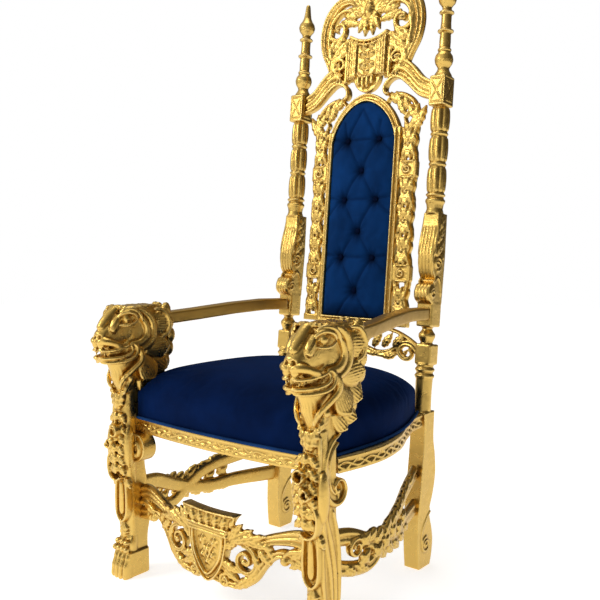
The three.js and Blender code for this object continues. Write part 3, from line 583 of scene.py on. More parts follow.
# The back velvet takes the painted shade of the tufts.
VELVET_BACK = velvet("navy_velvet_back", (0.0024, 0.027, 0.11), (0.015, 0.17, 0.58), 900.0, True)
PIPING = velvet("blue_piping", (0.008, 0.035, 0.12), (0.1, 0.3, 0.7), 1400.0)
BUTTON = velvet("button_velvet", (0.001, 0.004, 0.02), (0.04, 0.12, 0.4), 1200.0)
print("materials:", [m.name for m in (GOLD, GOLD_PLAIN_SHADED, VELVET, VELVET_BACK, PIPING, BUTTON)])

# %% [markdown]
# ## The front legs and their lions
# Each front leg is one carved block: a paw, a post faced with scrolls, round ears under the seat, and
# a lion that looks forward. The head is built as a carver blocks it out: skull, muzzle, jaw, then
# lips, eyes, the two ridges that frame the cheek, and the mane in overlapping locks.

# %% Paw, post and its front carving
def risen(stations, around=40, power=0.8):
    """Loft along z. Each station gives height, half width, front and back of a squared oval."""
    s = np.asarray(stations, float)
    z = np.concatenate([np.linspace(a, b, 8, endpoint=False) for a, b in zip(s[:-1, 0], s[1:, 0])]
                       + [s[-1:, 0]])
    near = np.clip(np.searchsorted(s[:, 0], z, side="right") - 1, 0, len(s) - 2)
    f = (z - s[near, 0]) / (s[near + 1, 0] - s[near, 0])
    f = (f * f * (3 - 2 * f))[:, None]
    half, front, back = np.moveaxis(s[near, 1:] * (1 - f) + s[near + 1, 1:] * f, 1, 0)
    p, q = superloop(around, power)
    x = p * half[:, None]
    y = (front + back)[:, None] / 2 + q * (back - front)[:, None] / 2
    return rings_shape(np.stack([x, y, np.broadcast_to(z[:, None], x.shape)], -1))


def paw():
    """Four toes with a claw each, a pad under the ankle, and two rows of knuckles above."""
    parts = [slab(-34, 34, -563, -484.5, 0, 76, 3)]
    for x in (-25.5, -8.5, 8.5, 25.5):
        reach = -585 + abs(x) * 0.16
        parts.append(risen([(0, 7.6, reach + 3, -540), (8, 8.6, reach, -540), (34, 8.9, reach + 2, -540),
                            (58, 8.2, reach + 10, -540), (77, 5.5, -566, -545)], 20, 0.85))
        parts.append(ball((x * 0.98, -566, 86), (8.2, 10, 9)))
        parts[-2] = moved(parts[-2], x=x)
    parts += [ball((x, -560, 104), (10, 10, 9)) for x in (-19, 0, 19)]
    return parts


def leg_front():
    """Carving on the front: a chain of leaves from a curled loop, an oval scroll and a long rimmed tongue."""
    parts = [risen([(62, 30, -556, -520), (95, 32, -560, -520), (130, 28, -550, -520),
                    (250, 28, -553, -520),
                    (330, 32, -564, -520), (405, 38, -576, -520), (470, 33, -566, -520),
                    (545, 29, -562, -520)])]
    parts.append(stem([(-21, 288), (-24, 230), (-20, 186), (0, 166), (20, 186), (24, 230), (21, 288)], 9,
                      24, -554))
    parts.append(stem([(0, 286), (0, 232), (0, 186)], [14, 20, 22], 20, -556, ends=(0.1, 0.2)))
    parts.append(leaf((0, 158), (0, 108), 34, -552, 22, 0, 4))
    # oval scroll with two lobes
    parts.append(stem([(-16, 366), (8, 376), (29, 362), (34, 334), (26, 304), (2, 292), (-20, 302)],
                      [7, 10, 10, 7], 26, -572, ends=(0.08, 0.08)))
    parts += [ball((10, -576, 350), (14, 13, 12)), ball((4, -574, 322), (15, 13, 13))]
    # chain of leaves, in pairs, each over the next
    for k, z in enumerate((488, 458, 428, 398, 368, 338)):
        front = -580 + 3.0 * abs(k - 3)
        for sx in (-1, 1):
            parts.append(leaf((-4 + sx * 4, z), (-4 + sx * 34, z - 26), 24, front, 22, bend=0.25 * sx,
                              lobes=3))
        parts.append(leaf((-4, z + 6), (-4, z - 26), 18, front - 8, 18, 0, 3))
    parts.append(stem(spiral((-10, 440), 18, 12, 0.1, 1.1, 20), [8, 8, 6], 26, -588, ends=(0.05, 0.1)))
    parts.append(stem(spiral((10, 404), 16, 6, 0.0, -1.2, 20), [8, 7, 5], 26, -590, ends=(0.05, 0.1)))
    for sx in (-1, 1):
        parts.append(leaf((sx * 2, 500), (sx * 24, 556), 28, -568, 22, bend=0.15 * sx))
        parts.append(leaf((sx * 14, 300), (sx * 38, 268), 20, -556, 20, bend=0.15 * sx))
        parts.append(ball((sx * 37, -560, 392), (13, 19, 62)))
    parts += [ball((0, -596, 412), (9, 8, 9)), leaf((0, 548), (0, 500), 30, -572, 22)]
    return parts


def leg_side():
    """The outer face: a great C-scroll that ends in a volute under the rail, and long reeds to the ankle."""
    outline = [(-484, 530), (-518, 515), (-541, 480), (-548, 436), (-541, 396), (-522, 370), (-498, 360),
               (-475, 367),
               (-464, 389), (-473, 411), (-493, 418), (-507, 406), (-502, 392)]
    drawn = [
        stem(outline, [7, 12, 14, 14, 12, 9, 7], 17, 0, 0, 90, (0.06, 0.06)),
        stem([(-488, 510), (-512, 492), (-526, 460), (-528, 430), (-520, 402), (-502, 382)], [5, 9, 8, 5],
             11, 0, ends=(0.1, 0.1)),
        ball((-497, -3, 392), (8, 7, 8)),
        stem([(-560, 536), (-562, 480), (-566, 430), (-560, 380), (-552, 330), (-538, 272), (-522, 200),
              (-514, 120)],
             [8, 10, 12, 11, 8], 12, 0, ends=(0.08, 0.08)),
        stem([(-545, 356), (-534, 318), (-516, 262), (-504, 196), (-500, 112)], [8, 12, 13, 9], 12, 0,
             ends=(0.08, 0.08)),
        stem([(-512, 348), (-498, 300), (-489, 250), (-486, 190), (-488, 112)], [8, 12, 13, 9], 12, 0,
             ends=(0.08, 0.08)),
        stem([(-550, 268), (-548, 200), (-540, 120)], [7, 9, 7], 9, 0, ends=(0.1, 0.1)),
    ]
    return [turned_to_side(s, 27) for s in drawn]


def leg_ears():
    """Round scrolls under the rails: the right-hand leg has one toward the middle and one behind."""
    inner = [plate(arc_outline(42), -541, -495), stem(spiral((0, 0), 34, 7, 0.25, 1.6, 26), [13, 12, 8], 12,
                                                      -541, ends=(0, 0.08)),
             stem(spiral((0, 0), 38, 38, 0.2, 1.0, 24), 8, 50, -518)]
    inner = [mirrored(moved(s, x=37.5, z=386)) for s in inner]
    outer = [plate(arc_outline(42), -22, 21), stem(spiral((0, 0), 34, 7, 0.25, 1.6, 26), [13, 12, 8], 12,
                                                   -22, ends=(0, 0.08)),
             stem(spiral((0, 0), 38, 38, 0.2, 1.0, 24), 8, 46, -1)]
    outer = [moved(turned_to_side(s), y=-505, z=386) for s in outer]
    return inner + outer


def arc_outline(radius, count=40):
    """A disc with a square corner at its upper left, where it joins the leg."""
    a = 2 * math.pi * np.arange(count) / count
    x, z = radius * np.cos(a), radius * np.sin(a)
    corner = (x < 0) & (z > 0)
    grow = radius / np.maximum(np.maximum(np.abs(x), np.abs(z)), 1e-6)
    return np.stack([np.where(corner, x * grow, x), np.where(corner, z * grow, z)], -1)


def leg_post():
    """The plain block behind the carving, with a gentle S in its back edge."""
    return risen([(1, 27.2, -547, -484), (100, 27.4, -548, -483.4), (180, 27.4, -548, -470.4),
                  (270, 27.4, -550, -483.2), (340, 27.4, -550, -491.3), (420, 27.4, -550, -491.4),
                  (560, 27.4, -550, -492)], 48, 0.3)


# %% [markdown]
# ## The lion
# The head is lofted from front to back, and ropes of changing thickness lie on it as lips, lids and
# folds. A sculpt by hand would be softer, but overlapping forms keep the crisp steps of a chisel.

# %% Head, face and mane
def muzzle(stations, around=36, power=0.8):
    """Loft along y. Each station gives y, half width, low and high."""
    s = np.asarray(stations, float)
    y = np.concatenate([np.linspace(a, b, 6, endpoint=False) for a, b in zip(s[:-1, 0], s[1:, 0])]
                       + [s[-1:, 0]])
    order = -s[:, 0]
    half, low, high = (np.interp(-y, order, s[:, k]) for k in (1, 2, 3))
    p, q = superloop(around, power)
    x = p * half[:, None]
    z = (low + high)[:, None] / 2 + q * (high - low)[:, None] / 2
    return rings_shape(np.stack([x, np.broadcast_to(y[:, None], x.shape), z], -1))


def ribbon(points, width, thick, side_x):
    """A broad rounded band on the side of the head along points [y, z]; side_x may change on the way."""
    count = 60
    shape = stem(points, width, thick, 0, 0, count, (0.06, 0.08), around=28, power=0.95)
    p = shape[0].copy()
    line = curve(points, count)
    near = np.argmin(((p[:, None, [0, 2]] - line[None]) ** 2).sum(-1), axis=1)
    shift = spread(side_x, count)[near]
    return turned_to_side((p - np.stack([0 * shift, shift, 0 * shift], -1), shape[1]))


def head():
    """Skull, muzzle, jaw and throat, with an open mouth between lips."""
    parts = [
        risen([(500, 27, -560, -488), (545, 28, -566, -480), (600, 31, -588, -462), (636, 37, -598, -446),
               (672, 42, -584, -440), (720, 46, -572, -432), (762, 46, -566, -434), (786, 40, -560, -440),
               (797, 28, -552, -456)], 48, 0.86),
        muzzle([(-540, 40, 676, 788), (-566, 36, 678, 784), (-590, 31, 680, 768), (-612, 27, 684, 750),
                (-628, 22, 688, 738), (-637, 15, 696, 728)]),
        muzzle([(-540, 38, 632, 672), (-570, 35, 634, 665), (-600, 30, 638, 661), (-622, 25, 641, 660),
                (-634, 17, 646, 658)]),
        muzzle([(-540, 36, 650, 690), (-580, 30, 650, 690), (-612, 22, 650, 690)]),
    ]
    # flat bridge, nose pad, chin
    parts.append(rope([(0, -566, 792), (0, -592, 773), (0, -618, 746), (0, -630, 732)], [17, 16, 13], 1.0,
                      20))
    parts += [ball((0, -628, 722), (19, 13, 12)), ball((0, -636, 706), (8, 5, 9)),
              ball((0, -630, 652), (15, 6, 8))]
    parts.append(rope([(-38, -556, 792), (-20, -570, 796), (0, -575, 797), (20, -570, 796),
                       (38, -556, 792)], 6.5, 1, 16, 0.2, 8))
    for sx in (-1, 1):
        side = []
        # wing of the nose and the full upper lip in two swellings
        side.append(ball((14, -626, 718), (9, 11, 9)))
        side.append(rope([(3, -636, 694), (14, -636, 703), (28, -620, 702), (40, -594, 692),
                          (43, -576, 684)], [8, 12, 10, 6], 1, 20))
        side.append(ball((12, -632, 692), (11, 10, 9)))
        # furred patch beside the nose and the groove before it
        side.append(rope([(24, -576, 774), (26, -594, 752), (27, -608, 726)], [11, 14, 11], 1, 20))
        # eye in its lids, with a corner fold
        side.append(ball((40, -566, 764), (13, 13, 13)))
        side.append(rope([(26, -588, 752), (34, -586, 772), (46, -570, 783), (55, -548, 778),
                          (55, -532, 762)], [4, 5, 5, 4]))
        side.append(rope([(26, -588, 752), (37, -586, 748), (49, -568, 746), (55, -550, 750),
                          (55, -534, 760)], [3, 4.5, 4]))
        side.append(rope([(30, -582, 782), (42, -568, 793), (54, -546, 790), (56, -526, 774),
                          (56, -518, 752)], [3.5, 5, 5, 3]))
        # mouth: upper edge, corner, lower lip and the second fold that follows it round
        side.append(rope([(2, -637, 681), (20, -634, 677), (36, -608, 678), (46, -580, 682),
                          (51, -560, 688)], [4, 5, 4]))
        side.append(rope([(1, -637, 656), (18, -632, 655), (34, -608, 655), (46, -576, 658),
                          (52, -556, 667), (51, -552, 681),
                          (48, -562, 690)], [5, 5.5, 5, 4.5]))
        side.append(rope([(2, -630, 643), (20, -622, 642), (36, -598, 642), (50, -566, 646),
                          (55, -544, 658), (55, -538, 680),
                          (52, -550, 694)], [4.5, 5.5, 5.5, 5]))
        # teeth
        side += [rope([(x, y, 682), (x, y, z)], [4.5, 2], 1, 10, ends=False)
                 for x, y, z in ((8, -630, 668), (19, -626, 661), (28, -612, 668), (36, -594, 668))]
        side += [rope([(x, y, 652), (x, y, z)], [4, 2], 1, 10, ends=False)
                 for x, y, z in ((13, -628, 664), (33, -600, 665), (40, -582, 664))]
        # the two smooth crescents that frame the cheek
        side.append(ribbon([(-552, 792), (-520, 788), (-488, 766), (-474, 730), (-482, 696), (-512, 676),
                            (-548, 678)],
                           [12, 24, 26, 14], 20, [43, 47, 47, 46]))
        side.append(ribbon([(-548, 776), (-522, 766), (-502, 740), (-500, 712), (-522, 693), (-560, 692)],
                           [8, 18, 24, 16], 18, [46, 50, 49, 45]))
        # band that sweeps from the cheek round the jaw and down the throat
        side.append(rope([(50, -544, 686), (56, -526, 668), (56, -526, 642), (47, -548, 618),
                          (36, -570, 596),
                          (26, -578, 574), (20, -572, 556)], [6, 9, 9.5, 8, 5], 0.85, 20))
        side.append(ball((36, -548, 590), (9, 11, 11)))
        side.append(leaf_side((-536, 586), (-572, 546), 26, 30))
        parts += side if sx > 0 else [mirrored(s) for s in side]
    return parts


def leaf_side(root, tip, width, side_x):
    """A leaf lying on the side; root and tip are [y, z]."""
    return turned_to_side(leaf(root, tip, width, 0, 16, 0.1, 3), side_x)


def shell(root, tip, width, side_x, depth=20.0, ribs=8, tilt=5.0):
    """A scallop on the side of the head, narrow at its root and round at its tip: ribs fan out over
    a shallow dome and stop at a raised rim. Root and tip are [y, z]; tilt lifts the tip off the head."""
    root, tip = np.asarray(root, float), np.asarray(tip, float)
    way = tip - root
    length = np.linalg.norm(way)
    way /= length
    t = np.linspace(0, 1, 34)[:, None]
    opening = 0.3 + 0.7 * np.sin(math.pi / 2 * np.clip(t / 0.62, 0, 1))
    closing = np.sqrt(np.clip(1 - np.clip((t - 0.62) / 0.38, 0, 1) ** 2 * 0.985, 0, 1))
    half = width / 2 * opening * closing
    p, q = superloop(64, 0.95)
    fan = 0.5 - 0.5 * np.cos(math.pi * ribs * np.clip(p * (half / (width / 2)) ** 0.5, -1, 1))
    grooves = 2.6 * fan * np.clip(t * 2.4 - 0.3, 0, 1) * np.clip((1 - t) / 0.1, 0, 1) * (np.abs(p) < 0.97)
    rim = 2.2 * np.exp(-(((np.hypot(p, np.clip((t - 0.55) / 0.4, 0, 1)) - 0.95) / 0.12) ** 2))
    dome = depth / 2 * (0.6 + 0.4 * np.sin(math.pi * 0.5 * t)) * (1 - 0.2 * p * p) + rim - grooves
    out = np.where(q < 0, q * dome, q * depth / 2) - tilt * t
    y = root[0] + way[0] * length * t - way[1] * half * p
    z = root[1] + way[1] * length * t + way[0] * half * p
    return turned_to_side(rings_shape(np.stack([y, np.broadcast_to(out, y.shape), z], -1)), side_x)


def mane():
    """Scallops down the side of the head, the upper over the lower, an ear, and locks at the back."""
    parts = [risen([(536, 28, -520, -488), (570, 33, -520, -466), (620, 40, -520, -446),
                    (660, 44, -520, -430),
                    (720, 46, -520, -424), (770, 44, -520, -430), (797, 36, -530, -446)], 48, 0.7)]
    side = [
        shell((-480, 746), (-420, 742), 72, 42, 20, 9, 3),
        rope([(48, -472, 786), (52, -444, 782), (54, -424, 764), (54, -416, 738), (52, -424, 712),
              (48, -446, 700)], [5, 7, 5], 0.9),
        shell((-500, 668), (-418, 676), 62, 42, 20, 8, 4),
        shell((-470, 640), (-424, 606), 58, 38, 20, 7, 3),
        shell((-512, 652), (-478, 578), 68, 42, 22, 9, 6),
        shell((-486, 584), (-442, 560), 46, 34, 20, 5, 4),
        shell((-516, 582), (-474, 538), 44, 30, 20, 5, 4),
        leaf_on_top((10, -552), (34, -462), 30), leaf_on_top((4, -512), (26, -430), 30),
    ]
    parts += both(side)
    for k, (z, y) in enumerate(((776, -432), (738, -420), (700, -414), (662, -420), (624, -434),
                                (590, -452), (560, -474))):
        for x in (-24, 0, 24):
            wide = 1 - 0.05 * k
            parts.append(ball((x * wide, y + 18 + 0.014 * x * x, z), (14, 17, 25)))
    return parts


def leaf_on_top(root, tip, width):
    """A lock lying on the crown, drawn in x and y and laid flat."""
    flat = leaf(root, tip, width, 0, 16, 0.1, 4)
    p = flat[0]
    return facing_out((np.stack([p[:, 0], p[:, 2], 792 - p[:, 1]], -1), flat[1]))


def lion_relief(p, _):
    """Fine grooves: whisker lines on the muzzle, hair on the mane and nostrils sunk as soft pits. The
    normals that each relief is given aren't needed here."""
    x = p[:, 0] - LEG_X
    y, z = p[:, 1], p[:, 2]
    out = np.zeros(len(p))
    patch = np.exp(-(((y + 594) / 24) ** 2) - (((z - 748) / 26) ** 2)) * (np.abs(x) > 17) * (np.abs(x) < 42)
    out -= 1.3 * patch * (0.5 + 0.5 * np.cos((y * 0.75 - z * 0.66) * 2 * math.pi / 6.0))
    for sx in (-1, 1):
        pit = ((x - sx * 11) / 5) ** 2 + ((y + 636) / 8) ** 2 + ((z - 716) / 4.5) ** 2
        out -= 6.0 * np.exp(-pit)
    back = np.clip((y + 440) / 20, 0, 1) * np.clip((z - 530) / 30, 0, 1) * (np.abs(x) < 46)
    out -= 0.9 * back * (0.5 + 0.5 * np.cos((z + 0.35 * y + 6 * np.sin(y / 9)) * 2 * math.pi / 7.5))
    throat = np.exp(-(((y + 575) / 20) ** 2)) * np.clip((632 - z) / 20, 0, 1) * np.clip((z - 560) / 20, 0,
        1)
    out -= 0.8 * throat * (0.5 + 0.5 * np.cos(x * 2 * math.pi / 7))
    return out


right_leg = join([leg_post()] + paw() + leg_front() + leg_side() + leg_ears() + head() + mane())
right_leg = moved(right_leg, x=LEG_X)
leg_right = carved("lion_leg_right", right_leg, 2.1, 2, lion_relief)
finished(leg_right, GOLD, "gilded_wood", "front_leg_right")


# %% [markdown]
# ## The pair
# The two legs are carved as a pair. Copying the finished mesh keeps them alike, and the faces are
# wound the other way so that they still point outwards.

# %% The left-hand leg is the mirror image
def mirrored_piece(thing, name):
    """Copies a finished piece to the other side: x changes sign and each face is wound the other way."""
    mesh = thing.data.copy()
    mesh.name = name
    co = coordinates(mesh) * np.array([-1.0, 1.0, 1.0])
    mesh.vertices.foreach_set("co", co.astype(np.float32).ravel())
    mesh.flip_normals()
    mesh.update()
    twin = bpy.data.objects.new(name, mesh)
    bpy.context.scene.collection.objects.link(twin)
    return twin


finished(mirrored_piece(leg_right, "lion_leg_left"), GOLD, "gilded_wood", "front_leg_left")

# %% [markdown]
# ## The rear posts
# Square blocks alternate with turned and reeded lengths, and a scrolled bracket with acanthus on both
# cheeks stands in front of each post. The foot ends in a carved volute.

# %% Post, bracket and finial
def side_profile(outline, x0, x1, soft=2.5):
    """Board in y and z with eased edges: the outline shrinks a little at both faces."""
    o = np.asarray(outline, float)
    middle = o.mean(0)
    levels = np.array([x0, x0 + soft * 0.3, x0 + soft, x1 - soft, x1 - soft * 0.3, x1])
    inset = np.array([soft, soft * 0.3, 0, 0, soft * 0.3, soft])
    normal = np.roll(o, -1, 0) - np.roll(o, 1, 0)
    normal = np.stack([normal[:, 1], -normal[:, 0]], -1)
    normal /= np.maximum(np.linalg.norm(normal, axis=1, keepdims=True), 1e-6)
    if ((o - middle) * normal).sum() < 0:
        normal = -normal
    ring = o[None] - normal[None] * inset[:, None, None]
    x = np.broadcast_to(levels[:, None], ring.shape[:2])
    return rings_shape(np.stack([x, ring[..., 0], ring[..., 1]], -1))


def rear_leg():
    """Sawn leg with an S in its back edge and a volute on both faces of its foot."""
    front = [(1, 20), (70, 14), (157, 15), (200, 20), (280, 32), (390, 45.6), (472, 45.6)]
    back = [(472, 103), (390, 99), (340, 108), (280, 112), (225, 100), (178, 80), (157, 77), (120, 90),
            (75, 98), (30, 92), (1, 82)]
    f, b = curve(front, 60), curve(back, 70)
    outline = np.vstack([f, b])[:, ::-1]
    parts = [side_profile(outline, -26.8, 26.8)]
    for sx in (-1, 1):
        face = [stem(spiral((56, 70), 25, 5, 0.2, 1.9, 30), [8, 7, 5], 9, 0, ends=(0.05, 0.05)),
                stem([(84, 168), (60, 150), (36, 118), (31, 76)], [8, 7, 6], 7, 0, ends=(0.1, 0.1)),
                ball((56, -2, 70), (6, 5, 6))]
        parts += [turned_to_side(s, 26) if sx > 0 else mirrored(turned_to_side(s, 26)) for s in face]
    parts.append(turned_to_side(moved(plate(11 * np.stack([np.cos(np.linspace(0, 6.1, 24)),
                                                           np.sin(np.linspace(0, 6.1, 24))], -1), -21, 21),
                                                           x=82, z=168)))
    return parts


def reeded(h0, h1, radius, reeds=8):
    """Turned length with bold reeds, rounded like petals at both ends and swelling in the middle."""
    t = np.linspace(0, 1, 40)
    swell = 0.78 + 0.22 * np.sin(math.pi * (0.04 + 0.92 * t)) ** 0.5
    angle = 2 * math.pi * np.arange(120) / 120
    petal = np.abs(np.sin(reeds / 2 * angle)) ** 0.55
    reach = np.clip(np.sin(math.pi * t) * 2.6, 0, 1)[:, None]
    r = radius * swell[:, None] * (0.72 + 0.28 * petal * reach ** 0.5)
    z = np.broadcast_to((h0 + (h1 - h0) * t)[:, None], r.shape)
    return rings_shape(np.stack([r * np.cos(angle), r * np.sin(angle), z], -1))


def bracket():
    """Scrolled console in front of the post: side outline, reeds on its nose and leaves on its cheeks."""
    outline = [(-26, 326), (-44, 338), (-48.5, 357), (-41, 378), (-20, 388), (-12, 397), (-28, 420),
               (-37, 450),
               (-36, 480), (-29, 515), (-20, 560), (-18.5, 600), (33, 600), (36.5, 470), (31.5, 326)]
    parts = [side_profile(curve(outline[:12], 80).tolist() + outline[12:], -26.6, 26.6)]
    for x in (-17, -5.7, 5.7, 17):
        parts.append(rope([(x, -24, 332), (x, -43, 341), (x, -46, 358), (x, -38, 376), (x, -18, 386)], 6,
                          1))
        parts.append(rope([(x, -14, 402), (x, -28, 424), (x, -34, 452), (x, -33, 482), (x, -25, 520),
                           (x, -17, 565)], 5, 1))
    cheek = [
        stem(spiral((-10, 447), 22, 5, 0.75, 2.3, 28), [9, 8, 5], 13, 0, ends=(0.05, 0.08)),
        stem([(-30, 470), (-26, 510), (-14, 560), (-8, 598)], [8, 8, 6], 11, 0, ends=(0.1, 0.1)),
        leaf((-20, 470), (20, 528), 26, -1, 14, 0.12, 4), leaf((-14, 510), (20, 572), 24, -1, 13, 0.12, 4),
        leaf((-10, 548), (16, 598), 20, -1, 12, 0.1, 3), leaf((2, 440), (24, 486), 20, -1, 12, -0.1, 3),
        stem(spiral((-26, 357), 16, 4, 0.2, 1.6, 20), [6, 5, 4], 10, 0, ends=(0.05, 0.1)),
        stem([(-24, 388), (-6, 404), (10, 392), (20, 350)], [6, 7, 5], 8, 0, ends=(0.1, 0.1)),
    ]
    for s in cheek:
        side = turned_to_side(s, 26)
        parts += [side, mirrored(side)]
    return parts


def post():
    """Blocks and turnings of the post above the seat, upright, then leaned."""
    parts = [
        turning([(22, -4), (26, 4), (25, 60), (26, 100), (30, 105), (30, 110), (25, 115), (25, 119),
                 (30, 124), (30, 129),
                 (25, 133), (26, 143)]),
        slab(-27, 27, -22, 30, 142, 204),
        turning([(17, 202), (18, 208), (25.5, 226), (25, 234), (16, 246), (15, 250), (20, 257)]),
        slab(-27, 27, -26, 32, 256, 332),
        turning([(26, 598), (27, 604), (24, 612), (26, 626), (30, 634), (30, 640), (25, 645), (24, 649),
                 (30, 653), (29, 658),
                 (22, 662)]),
        reeded(658, 744, 30), turning([(20, 740), (27, 746), (27, 751), (20, 756)]),
        reeded(752, 836, 30), turning([(20, 832), (27, 838), (27, 843), (20, 848)]),
        reeded(844, 925, 30),
        slab(-28, 28, -34, 28, 924, 1016, 3),
        turning([(26, 1014), (27.5, 1017), (26, 1022), (20, 1032), (17, 1040), (19, 1045), (26, 1056),
                 (28.5, 1068), (26, 1080),
                 (19, 1090), (18, 1093), (21, 1096), (21, 1100), (17, 1103), (17.5, 1125), (16.5, 1147),
                 (17, 1150), (24, 1152),
                 (25, 1155), (24, 1158), (17, 1160), (15.5, 1180), (15.5, 1204), (16, 1207), (22, 1209),
                 (23, 1212), (22, 1215),
                 (15, 1218), (14, 1226), (17, 1232), (25, 1242), (28, 1254), (25, 1266), (18, 1276),
                 (13, 1288), (10.5, 1304),
                 (8.5, 1322), (7, 1332), (3, 1336)]),
    ]
    return [bent(s, lean) for s in parts + bracket()]


def post_relief(p, n):
    """A border and a cross scratched into each face of the cap block."""
    c, s = math.cos(POST_LEAN), math.sin(POST_LEAN)
    h = (p[:, 2] - SEAT_TOP) * c + (p[:, 1] - POST_AXIS_Y) * s
    y = (p[:, 1] - POST_AXIS_Y) * c - (p[:, 2] - SEAT_TOP) * s
    x = p[:, 0] - POST_X
    out = np.zeros(len(p))
    on_cap = (h > 930) & (h < 1010)
    for flat, across, half in ((np.abs(n[:, 1]) > 0.7, x, 28.0), (np.abs(n[:, 0]) > 0.7, y + 3, 31.0)):
        u, v = across / half, (h - 970) / 45
        border = np.minimum(np.abs(np.maximum(np.abs(u), np.abs(v)) - 0.8), 1)
        cross = np.minimum(np.abs(u - v), np.abs(u + v)) + 4 * (np.maximum(np.abs(u), np.abs(v)) > 0.7)
        line = np.exp(-((border / 0.07) ** 2)) + np.exp(-((cross / 0.1) ** 2))
        out -= 1.9 * np.clip(line, 0, 1) * flat * on_cap
    return out


right_post = moved(join(rear_leg() + post()), x=POST_X)
post_right = carved("rear_post_carved_right", right_post, 2.2, 2, post_relief)
finished(post_right, GOLD, "gilded_wood", "rear_post_right")
finished(mirrored_piece(post_right, "rear_post_carved_left"), GOLD, "gilded_wood", "rear_post_left")

# %% [markdown]
# ## The crest
# Two reeded swan necks rise from the cap blocks to a shield, and above it two great C-scrolls meet in
# a spray of leaves. Each reed of the neck is a stem of its own, so the grooves stay deep.

# %% Swan necks, shield, scrolls and spray
CREST_END = POST_X - 28.4


def swan_neck():
    """Five stems side by side, each with its own width and depth, that rise from the cap block."""
    reeds = [
        ([(CREST_END, 1001), (212, 1020), (176, 1058), (146, 1081), (118, 1089)], 12, 30),
        ([(CREST_END, 989), (210, 1007), (172, 1046), (143, 1069), (110, 1076)], 9, 22),
        ([(CREST_END, 977), (208, 995), (169, 1034), (139, 1057), (100, 1064)], 15, 31),
        ([(CREST_END, 964), (206, 982), (165, 1021), (134, 1043), (104, 1046), (82, 1036)], 9, 24),
        ([(CREST_END, 953), (204, 970), (160, 1009), (128, 1032), (102, 1034), (80, 1020), (72, 1000),
          (80, 984), (92, 988)], 12, 31),
    ]
    return [stem(points, width, depth, -4, steps=60, ends=(0, 0.06)) for points, width, depth in reeds]


def crest_scroll():
    """The great C-scroll with its reeds, the curled hook inside it, a small volute, and leaves."""
    back = [(138, 1060), (158, 1110), (178, 1158), (182, 1214), (166, 1270), (128, 1308), (80, 1312),
            (46, 1286)]
    inner = [(140, 1104), (156, 1148), (162, 1200), (150, 1248), (118, 1276), (84, 1278), (56, 1256)]
    parts = [
        plate([(60, 1040), (136, 1050), (160, 1104), (170, 1158), (150, 1196), (112, 1186), (60, 1180)], -2,
              11),
        stem(back, [24, 46, 30], 28, -4, 3, steps=90, groove=0.5),
        stem(inner, [10, 15, 10], 30, -5, ends=(0.1, 0.1)),
        stem(spiral((124, 1218), 40, 7, 0.05, -1.2, 34), [15, 15, 8], 28, -8, 2, ends=(0.05, 0.06),
             groove=0.45),
        ball((124, -20, 1218), (9, 8, 9)),
        stem(spiral((112, 1098), 26, 6, -0.2, 1.35, 28), [14, 12, 8], 30, -6, 2, ends=(0.05, 0.08),
             groove=0.45),
        ball((112, -18, 1098), (7, 8, 7)),
        stem(spiral((112, 1044), 13, 4, 0.1, 1.3, 20), [8, 7, 5], 26, -8, ends=(0.05, 0.08)),
        leaf((146, 1080), (126, 1152), 30, -10, 24, 0.12, 5),
        leaf((152, 1116), (156, 1180), 24, -10, 24, 0.1, 4),
        leaf((138, 1130), (72, 1186), 32, -8, 26, 0.18, 5),
        leaf((140, 1150), (92, 1204), 26, -10, 24, -0.12, 4),
        leaf((112, 1126), (84, 1166), 24, -10, 24, 0.1, 3),
        leaf((150, 1158), (134, 1192), 20, -12, 22, 0.1, 3),
        leaf((92, 1126), (88, 1180), 22, -10, 24, 0.1, 4),
        leaf((160, 1196), (150, 1240), 18, -12, 22, 0.1, 3),
        leaf((140, 1066), (96, 1066), 22, -10, 24, 0.1, 3),
        leaf((98, 1128), (136, 1126), 20, -10, 24, 0.1, 3),
        leaf((118, 1246), (30, 1226), 28, -8, 26, -0.14, 5),
        leaf((108, 1266), (40, 1252), 24, -8, 24, -0.1, 4),
        leaf((132, 1046), (160, 1060), 20, -2, 22, 0.1, 3),
        stem([(84, 1036), (84, 1184)], 16, 26, -4),
    ]
    return parts


SHIELD_HALF, SHIELD_TOP, SHIELD_LOW = 76, 1190, 1040


def shield_outline(inset, lift=0.0):
    """Concave top, upright sides and a round foot."""
    half = SHIELD_HALF - inset
    x = np.linspace(-1, 1, 31)
    top = np.stack([x * half, SHIELD_TOP - inset + lift - 24 * (1 - x * x)], -1)
    a = np.linspace(0, -math.pi, 27)
    foot = np.stack([(half - 24 + inset * 0.3) * np.cos(a), SHIELD_LOW + 12 + (half - 22) * np.sin(a)], -1)
    return np.vstack([top, [(half, SHIELD_LOW + 20)], foot, [(-half, SHIELD_LOW + 20)]])


